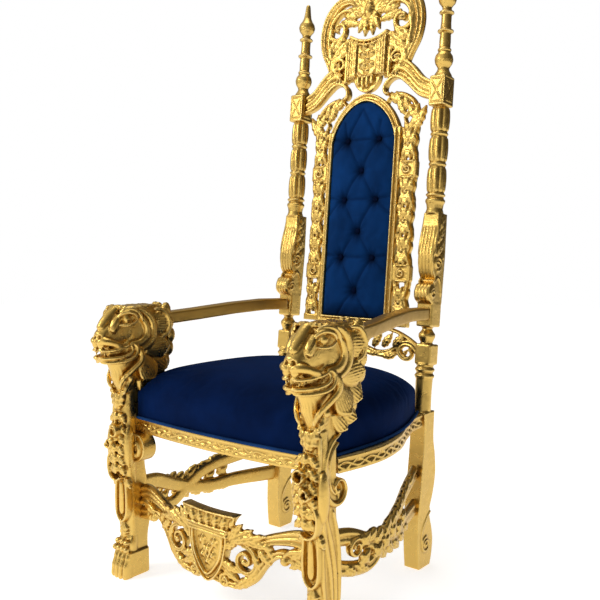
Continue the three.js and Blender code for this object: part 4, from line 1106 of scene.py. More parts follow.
def shield():
    """Board, raised rim, reeded pilasters, a ground for the flowers, and lobes on the foot."""
    parts = [plate(shield_outline(0), -12, 10), plate(shield_outline(30, 4), -16, 0)]
    for sx in (-1, 1):
        for x, w in ((70, 9), (61, 7), (51, 9), (42, 6)):
            parts.append(stem([(sx * x, 1046), (sx * x, 1178 - (70 - x) * 0.4)], w, 24, -12,
                              ends=(0.03, 0.03)))
    rim = [(x * 76, 1190 - 24 * (1 - x * x)) for x in np.linspace(-1, 1, 9)]
    parts.append(stem(rim, 10, 26, -10, ends=(0.03, 0.03)))
    parts.append(stem([(x, h - 12) for x, h in rim], 6, 22, -11))
    for x in (-27, -9, 9, 27):
        low = SHIELD_LOW - 36 + abs(x) * 0.55
        parts.append(stem([(x, SHIELD_LOW + 12), (x * 0.98, SHIELD_LOW - 6), (x * 0.9, low)], [14, 16, 12],
                          26, -13, ends=(0.05, 0.3)))
    parts.append(stem([(-34, 1062), (-20, 1051), (0, 1047), (20, 1051), (34, 1062)], 5, 22, -14))
    flowers = [(-14, 1146, 7), (14, 1148, 7), (-16, 1120, 8), (15, 1122, 8), (0, 1104, 5), (-14, 1084, 8),
               (15, 1086, 8), (0, 1066, 6)]
    for x, h, r in flowers:
        parts.append(ball((x, -18, h), (5, 6, 5)))
        for turn in np.arange(6) * math.pi / 3 + 0.5:
            tip = (x + 1.9 * r * math.cos(turn), h + 1.5 * r * math.sin(turn))
            parts.append(leaf((x, h), tip, 9, -16, 10, 0.1, 2))
    return parts


def spray():
    """Leaves that fan up from the middle, the beard that hangs below them, and a bud."""
    parts = [ball((0, -4, 1268), (40, 16, 66))]
    for turn, reach, wide in ((-74, 96, 36), (-50, 108, 40), (-25, 112, 40), (0, 118, 42), (25, 112, 40),
                              (50, 108, 40), (74, 96, 36)):
        a = math.radians(turn)
        tip = (reach * math.sin(a), 1262 + reach * math.cos(a))
        parts.append(leaf((0, 1256), tip, wide, -6 - 3 * math.cos(a), 28, 0.1 * np.sign(turn), 5))
    for turn in (-38, -13, 13, 38):
        a = math.radians(turn)
        parts.append(leaf((8 * np.sign(turn), 1262), (70 * math.sin(a), 1262 - 84 * math.cos(a)), 26, -14,
                          26, 0.1 * np.sign(turn), 4))
    parts.append(leaf((0, 1240), (0, 1300), 30, -22, 22, 0, 4))
    parts.append(ball((0, -26, 1256), (12, 9, 14)))
    return parts


def keep_between(low, high):
    """Rule that keeps points inside the CAD piece's own range across the throne and in height."""
    def rule(p):
        q = p.copy()
        q[:, 0] = np.clip(q[:, 0], low[0], high[0])
        q[:, 2] = np.clip(q[:, 2], low[2], high[2])
        return q
    return rule


crest_shape = bent(join(shield() + both(swan_neck() + crest_scroll()) + spray()),
                   keep_between((-CREST_END, 0, 940), (CREST_END, 0, 1383)))
crest = carved("crest_carving", bent(crest_shape, lean), 2.5, 2)
finished(crest, GOLD, "gilded_wood", "crest_rail")

# %% [markdown]
# ## The arched frame and its pierced sides
# A moulding follows the arch round the pad. On both sides runs a fretwork of crossing stems with
# leaves, tied by blocks, and scrolls that climb to the crest.

# %% Arch, fretwork and the rail under the back
ARCH_HALF, ARCH_SPRING, ARCH_RISE, ARCH_POWER = 143.0, 834.0, 164.0, 1.72
BACK_BOTTOM, MOULDING, FRET_HALF = 247.0, 22.0, 204.0
MIDDLE = (ARCH_HALF + FRET_HALF) / 2


def arch_path(inset, count=80):
    """Closed path along the arch: up one side, over the softly pointed top and down the other."""
    half, rise = ARCH_HALF - inset, ARCH_RISE - inset * 1.5
    a = np.linspace(0, math.pi / 2, count)
    x = half * np.cos(a) ** (2 / ARCH_POWER)
    h = ARCH_SPRING + rise * np.sin(a) ** (2 / ARCH_POWER)
    bottom = BACK_BOTTOM + inset
    right = np.vstack([[(half, bottom)], np.stack([x, h], -1)])
    return np.vstack([right, (right * [-1, 1])[::-1]])


def arch_moulding():
    """A broad hollow and an outer round, carried along the arch."""
    parts = []
    for inset, width, depth, y in ((4, 8, 26, 2), (11, 9, 20, 2), (17.5, 8, 27, -2), (11, 20, 16, 8)):
        path = arch_path(inset)
        parts.append(stem(path, width, depth, y, steps=420, around=20))
        parts.append(stem([(-(ARCH_HALF - inset), BACK_BOTTOM + inset),
                           (ARCH_HALF - inset, BACK_BOTTOM + inset)], width, depth, y))
    return parts


def fret_side():
    """Crossing waves with a rosette and leaves in each bay, blocks between the bays, a wavy bar along
    the outer edge and the climbing scroll."""
    parts = []
    for h0, h1, turns in ((262, 388, 1), (440, 715, 3), (766, 872, 1)):
        for sign in (-1, 1):
            t = np.linspace(0, 1, 16 * turns + 1)
            path = np.stack([MIDDLE + sign * 22 * np.cos(math.pi * turns * t), h0 + (h1 - h0) * t], -1)
            parts.append(stem(path, 17, 24, 4, 2, around=24))
        for k in range(turns):
            h = h0 + (h1 - h0) * (k + 0.5) / turns
            parts.append(ball((MIDDLE, -6, h), (9, 11, 9)))
            parts.append(stem(spiral((MIDDLE, h), 17, 12, 0.1, 1.05, 18), 8, 22, -2, ends=(0.05, 0.05)))
            for sx, sz in ((-1, 1), (1, 1), (-1, -1), (1, -1)):
                parts.append(leaf((MIDDLE + sx * 4, h), (MIDDLE + sx * 24, h + sz * 40), 22, -4, 22,
                                  0.2 * sx * sz, 4))
                parts.append(leaf((MIDDLE, h + sz * 14), (MIDDLE + sx * 9, h + sz * 50), 16, -6, 22, 0.1,
                                  3))
    for h in (385, 711):
        parts.append(slab(ARCH_HALF - 3, FRET_HALF + 2, -8, 15, h + 4, h + 54))
        parts.append(stem([(MIDDLE - 22, h + 5), (MIDDLE + 24, h + 5)], 8, 28, 2, ends=(0.1, 0.1)))
        parts.append(stem([(MIDDLE - 22, h + 53), (MIDDLE + 24, h + 53)], 8, 28, 2, ends=(0.1, 0.1)))
        parts.append(stem(spiral((MIDDLE, h + 29), 15, 4, 0.25, 1.6, 20), [7, 6, 4], 12, -9,
                          ends=(0.08, 0.1)))
    scrolls = [
        stem([(170, 850), (196, 892), (176, 925), (150, 905), (160, 884)], [15, 14, 8], 24, 4, 1,
             ends=(0, 0.1)),
        stem([(206, 900), (176, 956), (126, 982), (92, 974), (78, 952), (90, 938)], [14, 16, 9], 24, 4, 1,
             ends=(0.05, 0.08)),
    ]
    rise = np.linspace(0, 1, 90)
    edge = np.stack([FRET_HALF - 10 + 3 * np.cos(26 * math.pi * rise), 262 + (880 - 262) * rise], -1)
    parts.append(stem(edge, 12, 24, 3, 1, around=20))
    leaves = [((186, 900), (160, 950), 24), ((170, 868), (196, 908), 22), ((150, 916), (118, 962), 24),
              ((128, 960), (86, 980), 20),
              ((196, 880), (214, 912), 20), ((164, 850), (184, 874), 22), ((190, 866), (226, 936), 30),
              ((186, 884), (198, 946), 24), ((160, 930), (146, 978), 24),
              ((140, 936), (112, 992), 26), ((176, 850), (150, 892), 22), ((116, 952), (92, 992), 22)]
    return parts + scrolls + [leaf(a, b, w, 0, 24, 0.12, 4) for a, b, w in leaves]


frame_shape = join(arch_moulding() + both(fret_side()) + [plate([(-FRET_HALF, BACK_BOTTOM), (FRET_HALF,
    BACK_BOTTOM), (FRET_HALF, BACK_BOTTOM + 20), (-FRET_HALF, BACK_BOTTOM + 20)], -8, 16)])
frame_shape = bent(frame_shape, keep_between((-238, 0, BACK_BOTTOM), (238, 0, 998)))
back_frame = carved("back_frame_carving", bent(frame_shape, lean), 2.3, 2)
finished(back_frame, GOLD, "gilded_wood", "back_frame")


# %% [markdown]
# ## The rail below the arched frame
# A pierced rail ties the posts together. Its scrolls are stems again, laid flat and then leaned back
# with the frame above it.

# %% Rail under the back
def lower_rail():
    """Pierced rail of leafy scrolls between the posts, below the arched frame."""
    end = POST_X - 27.3
    parts = [stem([(end, 190), (205, 216), (150, 236), (80, 241), (0, 242), (-80, 241), (-150, 236),
                   (-205, 216), (-end, 190)], 12, 22, 5, 1)]
    half = [
        stem([(end, 176), (224, 196), (196, 198), (178, 180), (190, 158), (212, 152), (226, 166),
              (216, 180), (204, 174)], [26, 20, 7], 22, 4, 2, ends=(0, 0.06)),
        stem([(178, 190), (140, 168), (100, 162), (60, 172), (30, 190), (8, 186)], [16, 20, 14], 22, 4, 2,
             ends=(0.05, 0.1)),
        stem([(150, 150), (110, 156), (60, 160), (20, 168), (0, 172)], [14, 16, 14], 22, 4),
        leaf((160, 186), (196, 226), 28, 0, 24, 0.12, 4), leaf((120, 182), (152, 226), 26, 0, 24, 0.1, 4),
        leaf((84, 180), (112, 228), 26, 0, 24, 0.1, 4), leaf((46, 186), (74, 232), 24, 0, 24, 0.1, 4),
        leaf((10, 190), (34, 236), 24, 0, 24, 0.1, 4), leaf((170, 164), (126, 146), 22, 0, 22, 0.1, 3),
        leaf((110, 166), (70, 152), 20, 0, 22, 0.1, 3), ball((204, -2, 170), (7, 10, 7)),
    ]
    return parts + both(half) + [ball((0, -4, 190), (12, 12, 16))]


rail_shape = bent(join(lower_rail()), keep_between((-(POST_X - 27.3), 0, 142), (POST_X - 27.3, 0, 246.5)))
low_rail = carved("lower_back_rail_carving", bent(rail_shape, lean), 2.2, 2)
finished(low_rail, GOLD, "gilded_wood", "lower_back_rail")

# %% [markdown]
# ## Seat rails, arms and stretchers
# The rails are mouldings with a run of leaf in their hollow, carried along the seat's plan. The arms
# are plain bars with an eased edge. The front stretcher hangs like a garland from leg to leg with a
# crowned escutcheon, and bows forward; the side ones are crossing branches.

# %% Mouldings along a plan
def along_plan(plan, section, count, carve=None):
    """Section of (out, up) corners carried along a curve in plan; out is to the right of the way."""
    path = curve(plan, count)
    way = np.gradient(path, axis=0)
    way /= np.linalg.norm(way, axis=1, keepdims=True)
    section = np.asarray(section, float)
    out = np.broadcast_to(section[:, 0], (count, len(section))).copy()
    if carve is not None:
        t = np.linspace(0, 1, count)[:, None]
        out = out + carve(t, section)
    x = path[:, :1] + way[:, 1:] * out
    y = path[:, 1:] - way[:, :1] * out
    return rings_shape(np.stack([x, y, np.broadcast_to(section[:, 1], x.shape)], -1))


RAIL_TOP, RAIL_BOTTOM, RAIL_WIDTH = SEAT_TOP, 431.0, 34.0


def rail_section():
    """Fillet, bead, hollow and lower round of the rail, closed round the back."""
    up = np.linspace(0, 1, 34)
    z = RAIL_TOP - 0.3 - up * (RAIL_TOP - RAIL_BOTTOM - 0.3)
    out = -1.0 - 3.6 * np.sin(math.pi * np.clip((up - 0.2) / 0.55, 0, 1)) ** 0.8
    out += 1.0 * np.sin(math.pi * np.clip((up - 0.02) / 0.15, 0,
                                          1)) + 1.3 * np.sin(math.pi * np.clip((up - 0.76) / 0.22, 0, 1))
    front = np.stack([out, z], -1)
    back = np.array([(-RAIL_WIDTH, RAIL_BOTTOM), (-RAIL_WIDTH, RAIL_TOP - 0.3)])
    return np.vstack([front, back])


def running_leaf(waves):
    """Low relief in the rail's hollow: a wavy stem with leaves on alternate sides."""
    def carve(t, section):
        z = (section[:, 1] - (RAIL_TOP + RAIL_BOTTOM) / 2 + 1) / 11
        inside = (np.abs(z) < 1.15) & (section[:, 0] > -10)
        stem_line = 0.5 * np.sin(2 * math.pi * waves * t)
        body = np.exp(-(((z - stem_line) / 0.3) ** 2))
        beats = np.abs(np.sin(4 * math.pi * waves * t)) ** 0.6
        lobes = np.exp(-(((z + stem_line * 1.1) / 0.42) ** 2)) * beats
        return 3.1 * np.clip(body + lobes, 0, 1) * inside
    return carve


SEAT_FRONT, SEAT_FRONT_BOW = -523.0, 22.0
LEG_INSIDE = LEG_X - 27.8


def front_rail():
    """The moulding along a parabola that bows forward between the legs."""
    plan = [(u * LEG_INSIDE, SEAT_FRONT - SEAT_FRONT_BOW * (1 - u * u)) for u in np.linspace(-1, 1, 9)]
    return along_plan(plan, rail_section(), 340, running_leaf(7))


SIDE_PLAN = [(380, -505), (399, -400), (402, -310), (380, -205), (337, -105), (306, -20), (297, 60)]


def side_rail():
    """The moulding along the swelling side of the seat, cut off at the leg and at the post."""
    path = curve(SIDE_PLAN, 400)
    path = path[(path[:, 1] > -490) & (path[:, 1] < 42)]
    return along_plan(path[::6], rail_section(), 300, running_leaf(6))


rail_shape_front = front_rail()
rail_front = mesh_object("front_rail_moulding", (to_row(rail_shape_front[0]), rail_shape_front[1]))
finished(rail_front, GOLD, "gilded_wood", "front_seat_rail")
rail_side = side_rail()
rail_right = mesh_object("side_rail_moulding_right", (to_row(rail_side[0]), rail_side[1]))
finished(rail_right, GOLD, "gilded_wood", "side_seat_rail_right")
finished(mirrored_piece(rail_right, "side_rail_moulding_left"), GOLD, "gilded_wood", "side_seat_rail_left")


# %% [markdown]
# ## Arms and the plain rail
# The arms are bars with eased edges that bend outwards to the lions. The rail at the back is square and
# hidden, so the CAD piece itself stays and only gets its gilding.

# %% Arms and rear rail
def bar(points, width, height, count=90):
    """Squared section with eased corners along a curve in space, kept level across."""
    path = curve(points, count)
    way = np.gradient(path[:, :2], axis=0)
    way /= np.linalg.norm(way, axis=1, keepdims=True)
    p, q = superloop(48, 0.28)
    crown = 1 - 0.06 * p * p
    x = path[:, :1] + way[:, 1:] * p * width / 2
    y = path[:, 1:2] - way[:, :1] * p * width / 2
    z = path[:, 2:] + np.where(q > 0, q * crown, q) * height / 2
    return rings_shape(np.stack([x, y, z], -1))


arm_shape = bar([(346, -398, 0), (332, -290, 0), (305, -150, 0), (285, -30, 0), (POST_X + 0.5, 72, 0)],
                43.6, 37.6)
arm_heights = np.interp(arm_shape[0][:, 1], [-390, -290, -150, -30, 75], [752, 757, 767, 771, 766.5])
arm_shape = (arm_shape[0] + arm_heights[:, None] * [0, 0, 1], arm_shape[1])
arm_right = mesh_object("arm_bar_right", (to_row(arm_shape[0]), arm_shape[1]))
# The arms take the darker plain gold, whose body colour is painted shade.
finished(arm_right, GOLD_PLAIN_SHADED, "gilded_wood", "armrest_right")
finished(mirrored_piece(arm_right, "arm_bar_left"), GOLD_PLAIN_SHADED, "gilded_wood", "armrest_left")
print("arms and rails made, arm faces", len(arm_right.data.polygons))
rear_object = bpy.data.objects[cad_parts["rear_seat_rail"].name]
rear_object.data.materials.clear()
rear_object.data.materials.append(GOLD_PLAIN_SHADED)


# %% [markdown]
# ## The front stretcher
# Half of the garland is drawn and mirrored, the crowned shield is set in the middle, and the flat whole
# is then bent forward into a bow. Bending last keeps the drawing simple.

# %% Front stretcher
STRETCHER_BOW = 40.0


def bowed(p):
    """Moves the flat stretcher forward into its bow: most in the middle, none at the legs."""
    q = p.copy()
    q[:, 1] += SEAT_FRONT + 21 - STRETCHER_BOW * (1 - (p[:, 0] / LEG_INSIDE) ** 2)
    return q


def garland():
    """One half of the front stretcher: reeded arm, sagging lower branch, scrolls and acanthus."""
    end = LEG_INSIDE
    return [
        stem([(end, 238), (300, 250), (270, 252), (214, 240), (160, 222), (100, 224), (60, 214)],
             [52, 30, 26], 28, 0, 3, groove=0.4),
        stem([(end, 182), (294, 190), (262, 202), (232, 206), (202, 190), (176, 160), (146, 120), (92, 94),
              (6, 98)], [38, 24, 22, 22], 28, 0, 2, groove=0.45),
        stem([(end, 215), (300, 224), (262, 218), (244, 200), (246, 188), (256, 190)], [16, 14, 8], 30, -1,
             ends=(0, 0.1)),
        ball((247, -8, 192), (12, 12, 12)),
        stem(spiral((126, 166), 42, 7, 0.3, -1.35, 36), [17, 15, 8], 28, -2, 2, ends=(0.04, 0.06),
             groove=0.4),
        ball((126, -12, 166), (8, 8, 8)),
        stem(spiral((58, 100), 18, 5, 0.2, 1.6, 26), [11, 10, 6], 28, -1, ends=(0.05, 0.08)),
        leaf((66, 204), (150, 252), 30, -6, 26, 0.12, 5), leaf((86, 210), (196, 246), 26, -10, 24, 0.1, 5),
        leaf((70, 214), (118, 262), 24, -8, 22, 0.15, 4), leaf((120, 222), (214, 216), 24, -8, 24, -0.1, 5),
        leaf((60, 186), (104, 214), 22, -8, 24, 0.15, 3), leaf((46, 150), (112, 132), 26, -8, 24, 0.15, 4),
        leaf((52, 132), (108, 108), 24, -6, 24, 0.15, 4), leaf((150, 128), (88, 84), 28, -4, 26, 0.12, 4),
        leaf((172, 150), (120, 100), 22, -4, 24, 0.12, 4),
        leaf((168, 206), (206, 172), 24, -6, 24, 0.12, 4),
        leaf((190, 226), (214, 188), 20, -6, 22, 0.12, 3),
        leaf((150, 196), (176, 150), 20, -6, 22, 0.15, 3),
        leaf((300, 226), (262, 200), 22, -6, 22, 0.12, 3),
        leaf((296, 196), (256, 176), 20, -4, 22, 0.12, 3),
        leaf((76, 96), (44, 80), 16, -2, 20, 0.1, 3),
    ]


def escutcheon():
    """Shield with a raised rim and a spray of flowers, a reeded neck, and a crown with a row of leaves."""
    shield_line = [(-68, 214), (-65, 190), (-52, 142), (-29, 106), (0, 88), (29, 106), (52, 142), (65, 190),
                   (68, 214)]
    rim = [(-56, 212), (-54, 188), (-41, 146), (0, 106), (41, 146), (54, 188), (56, 212)]
    crown = [(-66, 232), (-74, 246), (-84, 262), (-100, 279), (-50, 275), (0, 274), (50, 275), (100, 279),
             (84, 262), (74, 246), (66, 232)]
    parts = [plate(curve(shield_line, 60), -12, 12), stem(rim, 8, 26, -10), stem(shield_line, 6, 26, -8),
             plate(crown, -14, 14)]
    parts.append(stem([(-100, 277), (-50, 274), (0, 273), (50, 274), (100, 277)], 8, 34, -4,
                      ends=(0.03, 0.03)))
    for z, w, d, x in ((219, 7, 36, 76), (227, 5, 34, 74), (235, 7, 36, 78)):
        parts.append(stem([(-x, z), (0, z), (x, z)], w, d, -5, ends=(0.03, 0.03)))
    for x in (-54, -27, 0, 27, 54):
        parts.append(leaf((x, 238), (x * 1.18, 272), 19, -14, 20, 0, 3))
    for sx in (-1, 1):
        parts.append(leaf((sx * 78, 246), (sx * 98, 274), 14, -12, 18, 0.1, 2))
    for x, z, r in ((-22, 192, 9), (22, 192, 9), (0, 172, 9), (0, 140, 8), (-18, 156, 7), (18, 156, 7)):
        parts.append(ball((x, -16, z), (4.5, 6, 4.5)))
        for turn in np.arange(5) * 2 * math.pi / 5 + 0.3:
            parts.append(leaf((x, z), (x + 1.6 * r * math.cos(turn), z + 1.6 * r * math.sin(turn)), 8, -13,
                              9, 0.1, 2))
    parts.append(stem([(-22, 186), (-10, 168), (0, 150), (10, 168), (22, 186)], 4, 12, -12))
    return parts


garland_shape = bent(join(both(garland()) + escutcheon()),
                     keep_between((-LEG_INSIDE, 0, 79.5), (LEG_INSIDE, 0, 279)))
stretcher_front = carved("front_stretcher_carving", bent(garland_shape, bowed), 2.2, 2)
finished(stretcher_front, GOLD, "gilded_wood", "front_stretcher")


# %% [markdown]
# ## The side stretchers
# Two leafy branches cross, as they do on carved chairs, and then follow the bowed side of the seat.

# %% Side stretchers
SIDE_BOW = np.array([(360, -490), (376, -400), (384, -310), (366, -200), (326, -90), (286, 30)], float)


def branches():
    """Two leafy branches that cross, a scroll in the front gap and leaves along both."""
    parts = [
        stem([(-484, 262), (-420, 252), (-350, 222), (-280, 198), (-200, 185), (-110, 192), (24, 190)],
             [46, 42, 50], 25, 0, 2, groove=0.4),
        stem([(-484, 190), (-400, 166), (-340, 168), (-280, 210), (-220, 243), (-120, 268), (24, 295)],
             [40, 38, 46], 25, 0, 2, groove=0.4),
        stem(spiral((-408, 222), 27, 6, 0, 1.6, 28), [12, 10, 6], 20, -8, ends=(0.05, 0.08)),
    ]
    for a, b, w in (((-300, 206), (-250, 262), 26), ((-260, 224), (-206, 268), 26),
                    ((-216, 244), (-160, 282), 24),
                    ((-170, 256), (-112, 292), 24), ((-124, 268), (-70, 304), 22),
                    ((-312, 200), (-282, 160), 24),
                    ((-276, 196), (-238, 160), 24), ((-236, 186), (-190, 158), 22),
                    ((-190, 184), (-140, 166), 22),
                    ((-330, 214), (-300, 250), 22), ((-360, 226), (-330, 256), 20),
                    ((-130, 188), (-84, 172), 20),
                    ((-440, 180), (-404, 152), 22), ((-400, 174), (-356, 150), 20),
                    ((-60, 286), (-20, 306), 18)):
        parts.append(leaf(a, b, w * 1.3, -5, 26, 0.14, 4))
    for y, z in ((-300, 208), (-258, 222), (-214, 214), (-170, 226), (-340, 196), (-392, 238), (-392, 192)):
        parts.append(leaf((y, z - 14), (y + 34, z + 16), 26, -10, 22, 0.15, 4))
        parts.append(leaf((y, z + 12), (y + 30, z - 20), 22, -10, 22, -0.15, 3))
    parts += [ball((-282, -10, 210), (10, 9, 10)), ball((-236, -10, 206), (8, 8, 8))]
    return parts


def along_side(p):
    """Sets the flat branches on their bowed plan between the legs."""
    plan = curve(SIDE_BOW, 400)
    q = p.copy()
    q[:, 0] = np.interp(p[:, 1], plan[:, 1], plan[:, 0]) + p[:, 0] - 8
    q[:, 1] = np.clip(p[:, 1], -483, 28)
    return q


side_shape = bent(turned_to_side(join(branches())), along_side)
side_right = carved("side_stretcher_carving_right", side_shape, 2.3, 2)
finished(side_right, GOLD, "gilded_wood", "side_stretcher_right")
finished(mirrored_piece(side_right, "side_stretcher_carving_left"), GOLD, "gilded_wood",
         "side_stretcher_left")

# %% [markdown]
# ## The seat
# The seat is a thick foam cushion under tight velvet: an upright side with a soft edge, a crown, and a
# piping along the rail. The shape is drawn a little slack, then a cloth simulation under air pressure
# lets the cover swell and wrinkle slightly at the corners, as upholstery does.

# %% Seat cushion
SEAT_BACK, SEAT_FRONT_HALF, SEAT_REAR_HALF, SEAT_SIDE_BOW = 44.0, 366.0, 277.0, 52.0
CUSHION_SIDE, CUSHION_CROWN = 66.0, 84.0


def seat_plan(across, along):
    """Plan of the seat: across and along run from -1 to 1, along from the front to the back."""
    t = (1 - along) / 2
    half = SEAT_REAR_HALF + (SEAT_FRONT_HALF - SEAT_REAR_HALF) * t + SEAT_SIDE_BOW * np.sin(math.pi * t)
    front = SEAT_FRONT - SEAT_FRONT_BOW * (1 - across**2) + 1
    return across * half, SEAT_BACK - 1 + (front - SEAT_BACK) * t


def seat_shape():
    """Squared rings from the middle of the bottom, up the side and over the crown."""
    angle = 2 * math.pi * np.arange(220) / 220
    p, q = np.cos(angle), np.sin(angle)
    big = np.maximum(np.abs(p), np.abs(q))
    bottom = [(r, 0.0) for r in (0.02, 0.3, 0.6, 0.85, 0.97, 0.995)]
    side = [(1.0, z) for z in np.linspace(0.04, 0.96, 18)]
    top = [(r, 1.0) for r in 1 - np.linspace(0.004, 0.985, 46) ** 1.3]
    rings = []
    for r, level in bottom + side + top:
        across, along = p / big * r, q / big * r
        corner = (np.abs(p / big) ** 9 * np.abs(q / big) ** 9)
        across, along = across * (1 - 0.006 * corner), along * (1 - 0.006 * corner)
        x, y = seat_plan(across, along)
        crown = np.sqrt(np.clip((1 - np.abs(across) ** 3.6) * (1 - np.abs(along) ** 3.6), 0, 1))
        z = SEAT_TOP + 0.4 + CUSHION_SIDE * min(level * 1.02,
                                                1) + (CUSHION_CROWN * crown if level == 1.0 else 0)
        z = np.broadcast_to(z, x.shape)
        rings.append(np.stack([x, y, z], -1))
    return rings_shape(np.array(rings))


def notched(thing):
    """Cuts the room for the front legs and the lions' manes out of the cushion."""
    for sx in (-1, 1):
        for x0, x1, y1, z0 in ((-28.5, 70, -483, 460), (-50, 90, -464, 548)):
            low, high = sorted((sx * (LEG_X + x0), sx * (LEG_X + x1)))
            tool = slab(low, high, -640, y1, z0, 700, 12)
            cutter = mesh_object("leg_room", (to_row(tool[0]), tool[1]))
            cut = thing.modifiers.new("leg_room", "BOOLEAN")
            cut.operation, cut.object, cut.solver = "DIFFERENCE", cutter, "EXACT"
            applied(thing)
            bpy.data.objects.remove(cutter)


def swelled(thing, voxel, cap, pressure=4.0, hold=None):
    """Remeshed and smoothed, then cloth under air pressure for twenty frames. Points move at most cap
    millimetres, and a rule may hold some still; the modifier is applied."""
    remesh = thing.modifiers.new("even_mesh", "REMESH")
    remesh.mode, remesh.voxel_size, remesh.use_smooth_shade = "VOXEL", voxel * MM, True
    soften = thing.modifiers.new("soften", "SMOOTH")
    soften.factor, soften.iterations = 0.5, 4
    applied(thing)
    start_points = coordinates(thing.data)
    cloth = thing.modifiers.new("cover", "CLOTH")
    cloth.settings.use_pressure = True
    cloth.settings.uniform_pressure_force = pressure
    cloth.settings.effector_weights.gravity = 0.0
    cloth.settings.quality = 5
    cloth.settings.mass = 0.3
    cloth.settings.tension_stiffness = cloth.settings.compression_stiffness = 12
    cloth.settings.bending_stiffness = 0.6
    cloth.collision_settings.use_collision = False
    cloth.point_cache.frame_start, cloth.point_cache.frame_end = 1, 20
    for step in range(1, 21):
        bpy.context.scene.frame_set(step)
    applied(thing)
    move = coordinates(thing.data) - start_points
    if hold is not None:
        move *= hold(start_points / MM - np.array([0.0, SHIFT_Y, 0.0]))[:, None]
    size = np.linalg.norm(move, axis=1, keepdims=True)
    move *= np.minimum(1, cap * MM / np.maximum(size, 1e-9))
    thing.data.vertices.foreach_set("co", (start_points + move).astype(np.float32).ravel())
    thing.data.update()
    bpy.context.scene.frame_set(1)
    print(thing.name, "cover moved at most", round(float(np.linalg.norm(move, axis=1).max()) / MM, 1), "mm")
    return thing


seat_points = seat_shape()
seat = mesh_object("velvet_seat", (to_row(seat_points[0]), seat_points[1]))
notched(seat)
seat = swelled(seat, 6.0, 5.0, 3.0, lambda p: np.clip((p[:, 2] - SEAT_TOP - 4) / 20, 0, 1))


# %% [markdown]
# ## Pulls in the cover
# Velvet that is pulled round a corner shows faint ripples there. They are too slight for the cloth
# simulation, so they are added along the normals, and a cord closes the lower edge.

# %% Folds and piping of the seat
def seat_wrinkles():
    """Slight pulls in the cover: soft ripples that radiate from the front corners and along the side."""
    co = coordinates(seat.data)
    normals = np.empty(len(co) * 3, np.float32)
    seat.data.vertices.foreach_get("normal", normals)
    p = co / MM - np.array([0.0, SHIFT_Y, 0.0])
    out = np.zeros(len(p))
    for sx in (-1, 1):
        dx, dy = p[:, 0] - sx * 320, p[:, 1] + 470
        far = np.hypot(dx, dy)
        angle = np.arctan2(dy, dx * sx)
        out += 1.5 * np.cos(angle * 15) * np.exp(-(((far - 75) / 60) ** 2)) * np.clip((p[:, 2] - SEAT_TOP
            - 20) / 40, 0, 1)
    out += 0.8 * np.sin(p[:, 0] / 31 + 0.8 * np.sin(p[:, 2] / 15)) * np.clip((-p[:, 1] - 480) / 40, 0,
        1) * np.clip((p[:, 2] - SEAT_TOP - 10) / 30, 0, 1)
    co += normals.reshape(-1, 3) * out[:, None] * MM
    low, high = np.array(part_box("seat_cushion")[0]), np.array(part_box("seat_cushion")[1])
    co[:, 2] = np.clip(co[:, 2], low[2], high[2] + 0.006)
    seat.data.vertices.foreach_set("co", co.astype(np.float32).ravel())
    seat.data.update()


seat_wrinkles()
finished(seat, VELVET, "velvet", "seat_cushion", padding=0.85)


PIPE_RADIUS, PIPE_HEIGHT = 4.2, 4.4


def piping():
    """Cord of cloth along the bottom of the cover, on the visible front and sides."""
    u = np.linspace(-0.86, 0.86, 60)
    front = np.stack(seat_plan(u, np.full_like(u, -1.0)), -1) + [0, -1.5]
    v = np.linspace(-0.86, 0.995, 90)
    side = np.stack(seat_plan(np.full_like(v, 1.0), v), -1) + [1.5, 0]
    made = []
    for line in (front, side, side * [-1, 1]):
        path = np.column_stack([line, np.full(len(line), SEAT_TOP + PIPE_HEIGHT)])
        p, q = superloop(12, 1.0)
        way = np.gradient(path[:, :2], axis=0)
        way /= np.linalg.norm(way, axis=1, keepdims=True)
        x = path[:, :1] + way[:, 1:] * p * PIPE_RADIUS
        y = path[:, 1:2] - way[:, :1] * p * PIPE_RADIUS
        ring = np.stack([x, y, path[:, 2:] + q * PIPE_RADIUS], -1)
        made.append(rings_shape(ring))
    return join(made)


cord_shape = piping()
cord_edge = mesh_object("seat_piping", (to_row(cord_shape[0]), cord_shape[1]))
finished(cord_edge, PIPING, "velvet")
print("seat faces", len(seat.data.polygons), "piping faces", len(cord_edge.data.polygons))

# %% [markdown]
# ## The tufted back pad
# Buttons pull the velvet back in a diamond pattern: the cover swells between them and folds run from
# button to button. The height is a function of the distance to the nearest button and to the lines
# that join them, so a grid with rows and columns is enough.

# %% Tufted pad
BUTTON_ROWS = [(843, (-61.5, 61.5)), (744, (0.0,)), (649, (-61.5, 61.5)), (547, (0.0,)),
               (461, (-61.5, 61.5)), (354, (0.0,))]
BUTTONS = np.array([(x, h) for h, xs in BUTTON_ROWS for x in xs])


def pad_width(h, inset):
    """Half width of the arched opening at a height."""
    half, rise = ARCH_HALF - MOULDING - inset, ARCH_RISE - (MOULDING + inset) * 1.5
    up = np.clip((h - ARCH_SPRING) / rise, 0, 1)
    return half * (1 - up**ARCH_POWER) ** (1 / ARCH_POWER)


def fold_depth(x, h, a, b, width):
    """How near a point is to the line from a to b: 1 on it, falling off over the width."""
    a, b = np.asarray(a, float), np.asarray(b, float)
    way = b - a
    t = np.clip(((x - a[0]) * way[0] + (h - a[1]) * way[1]) / (way @ way), 0, 1)
    far = np.hypot(x - a[0] - t * way[0], h - a[1] - t * way[1])
    return np.exp(-((far / width) ** 1.4))


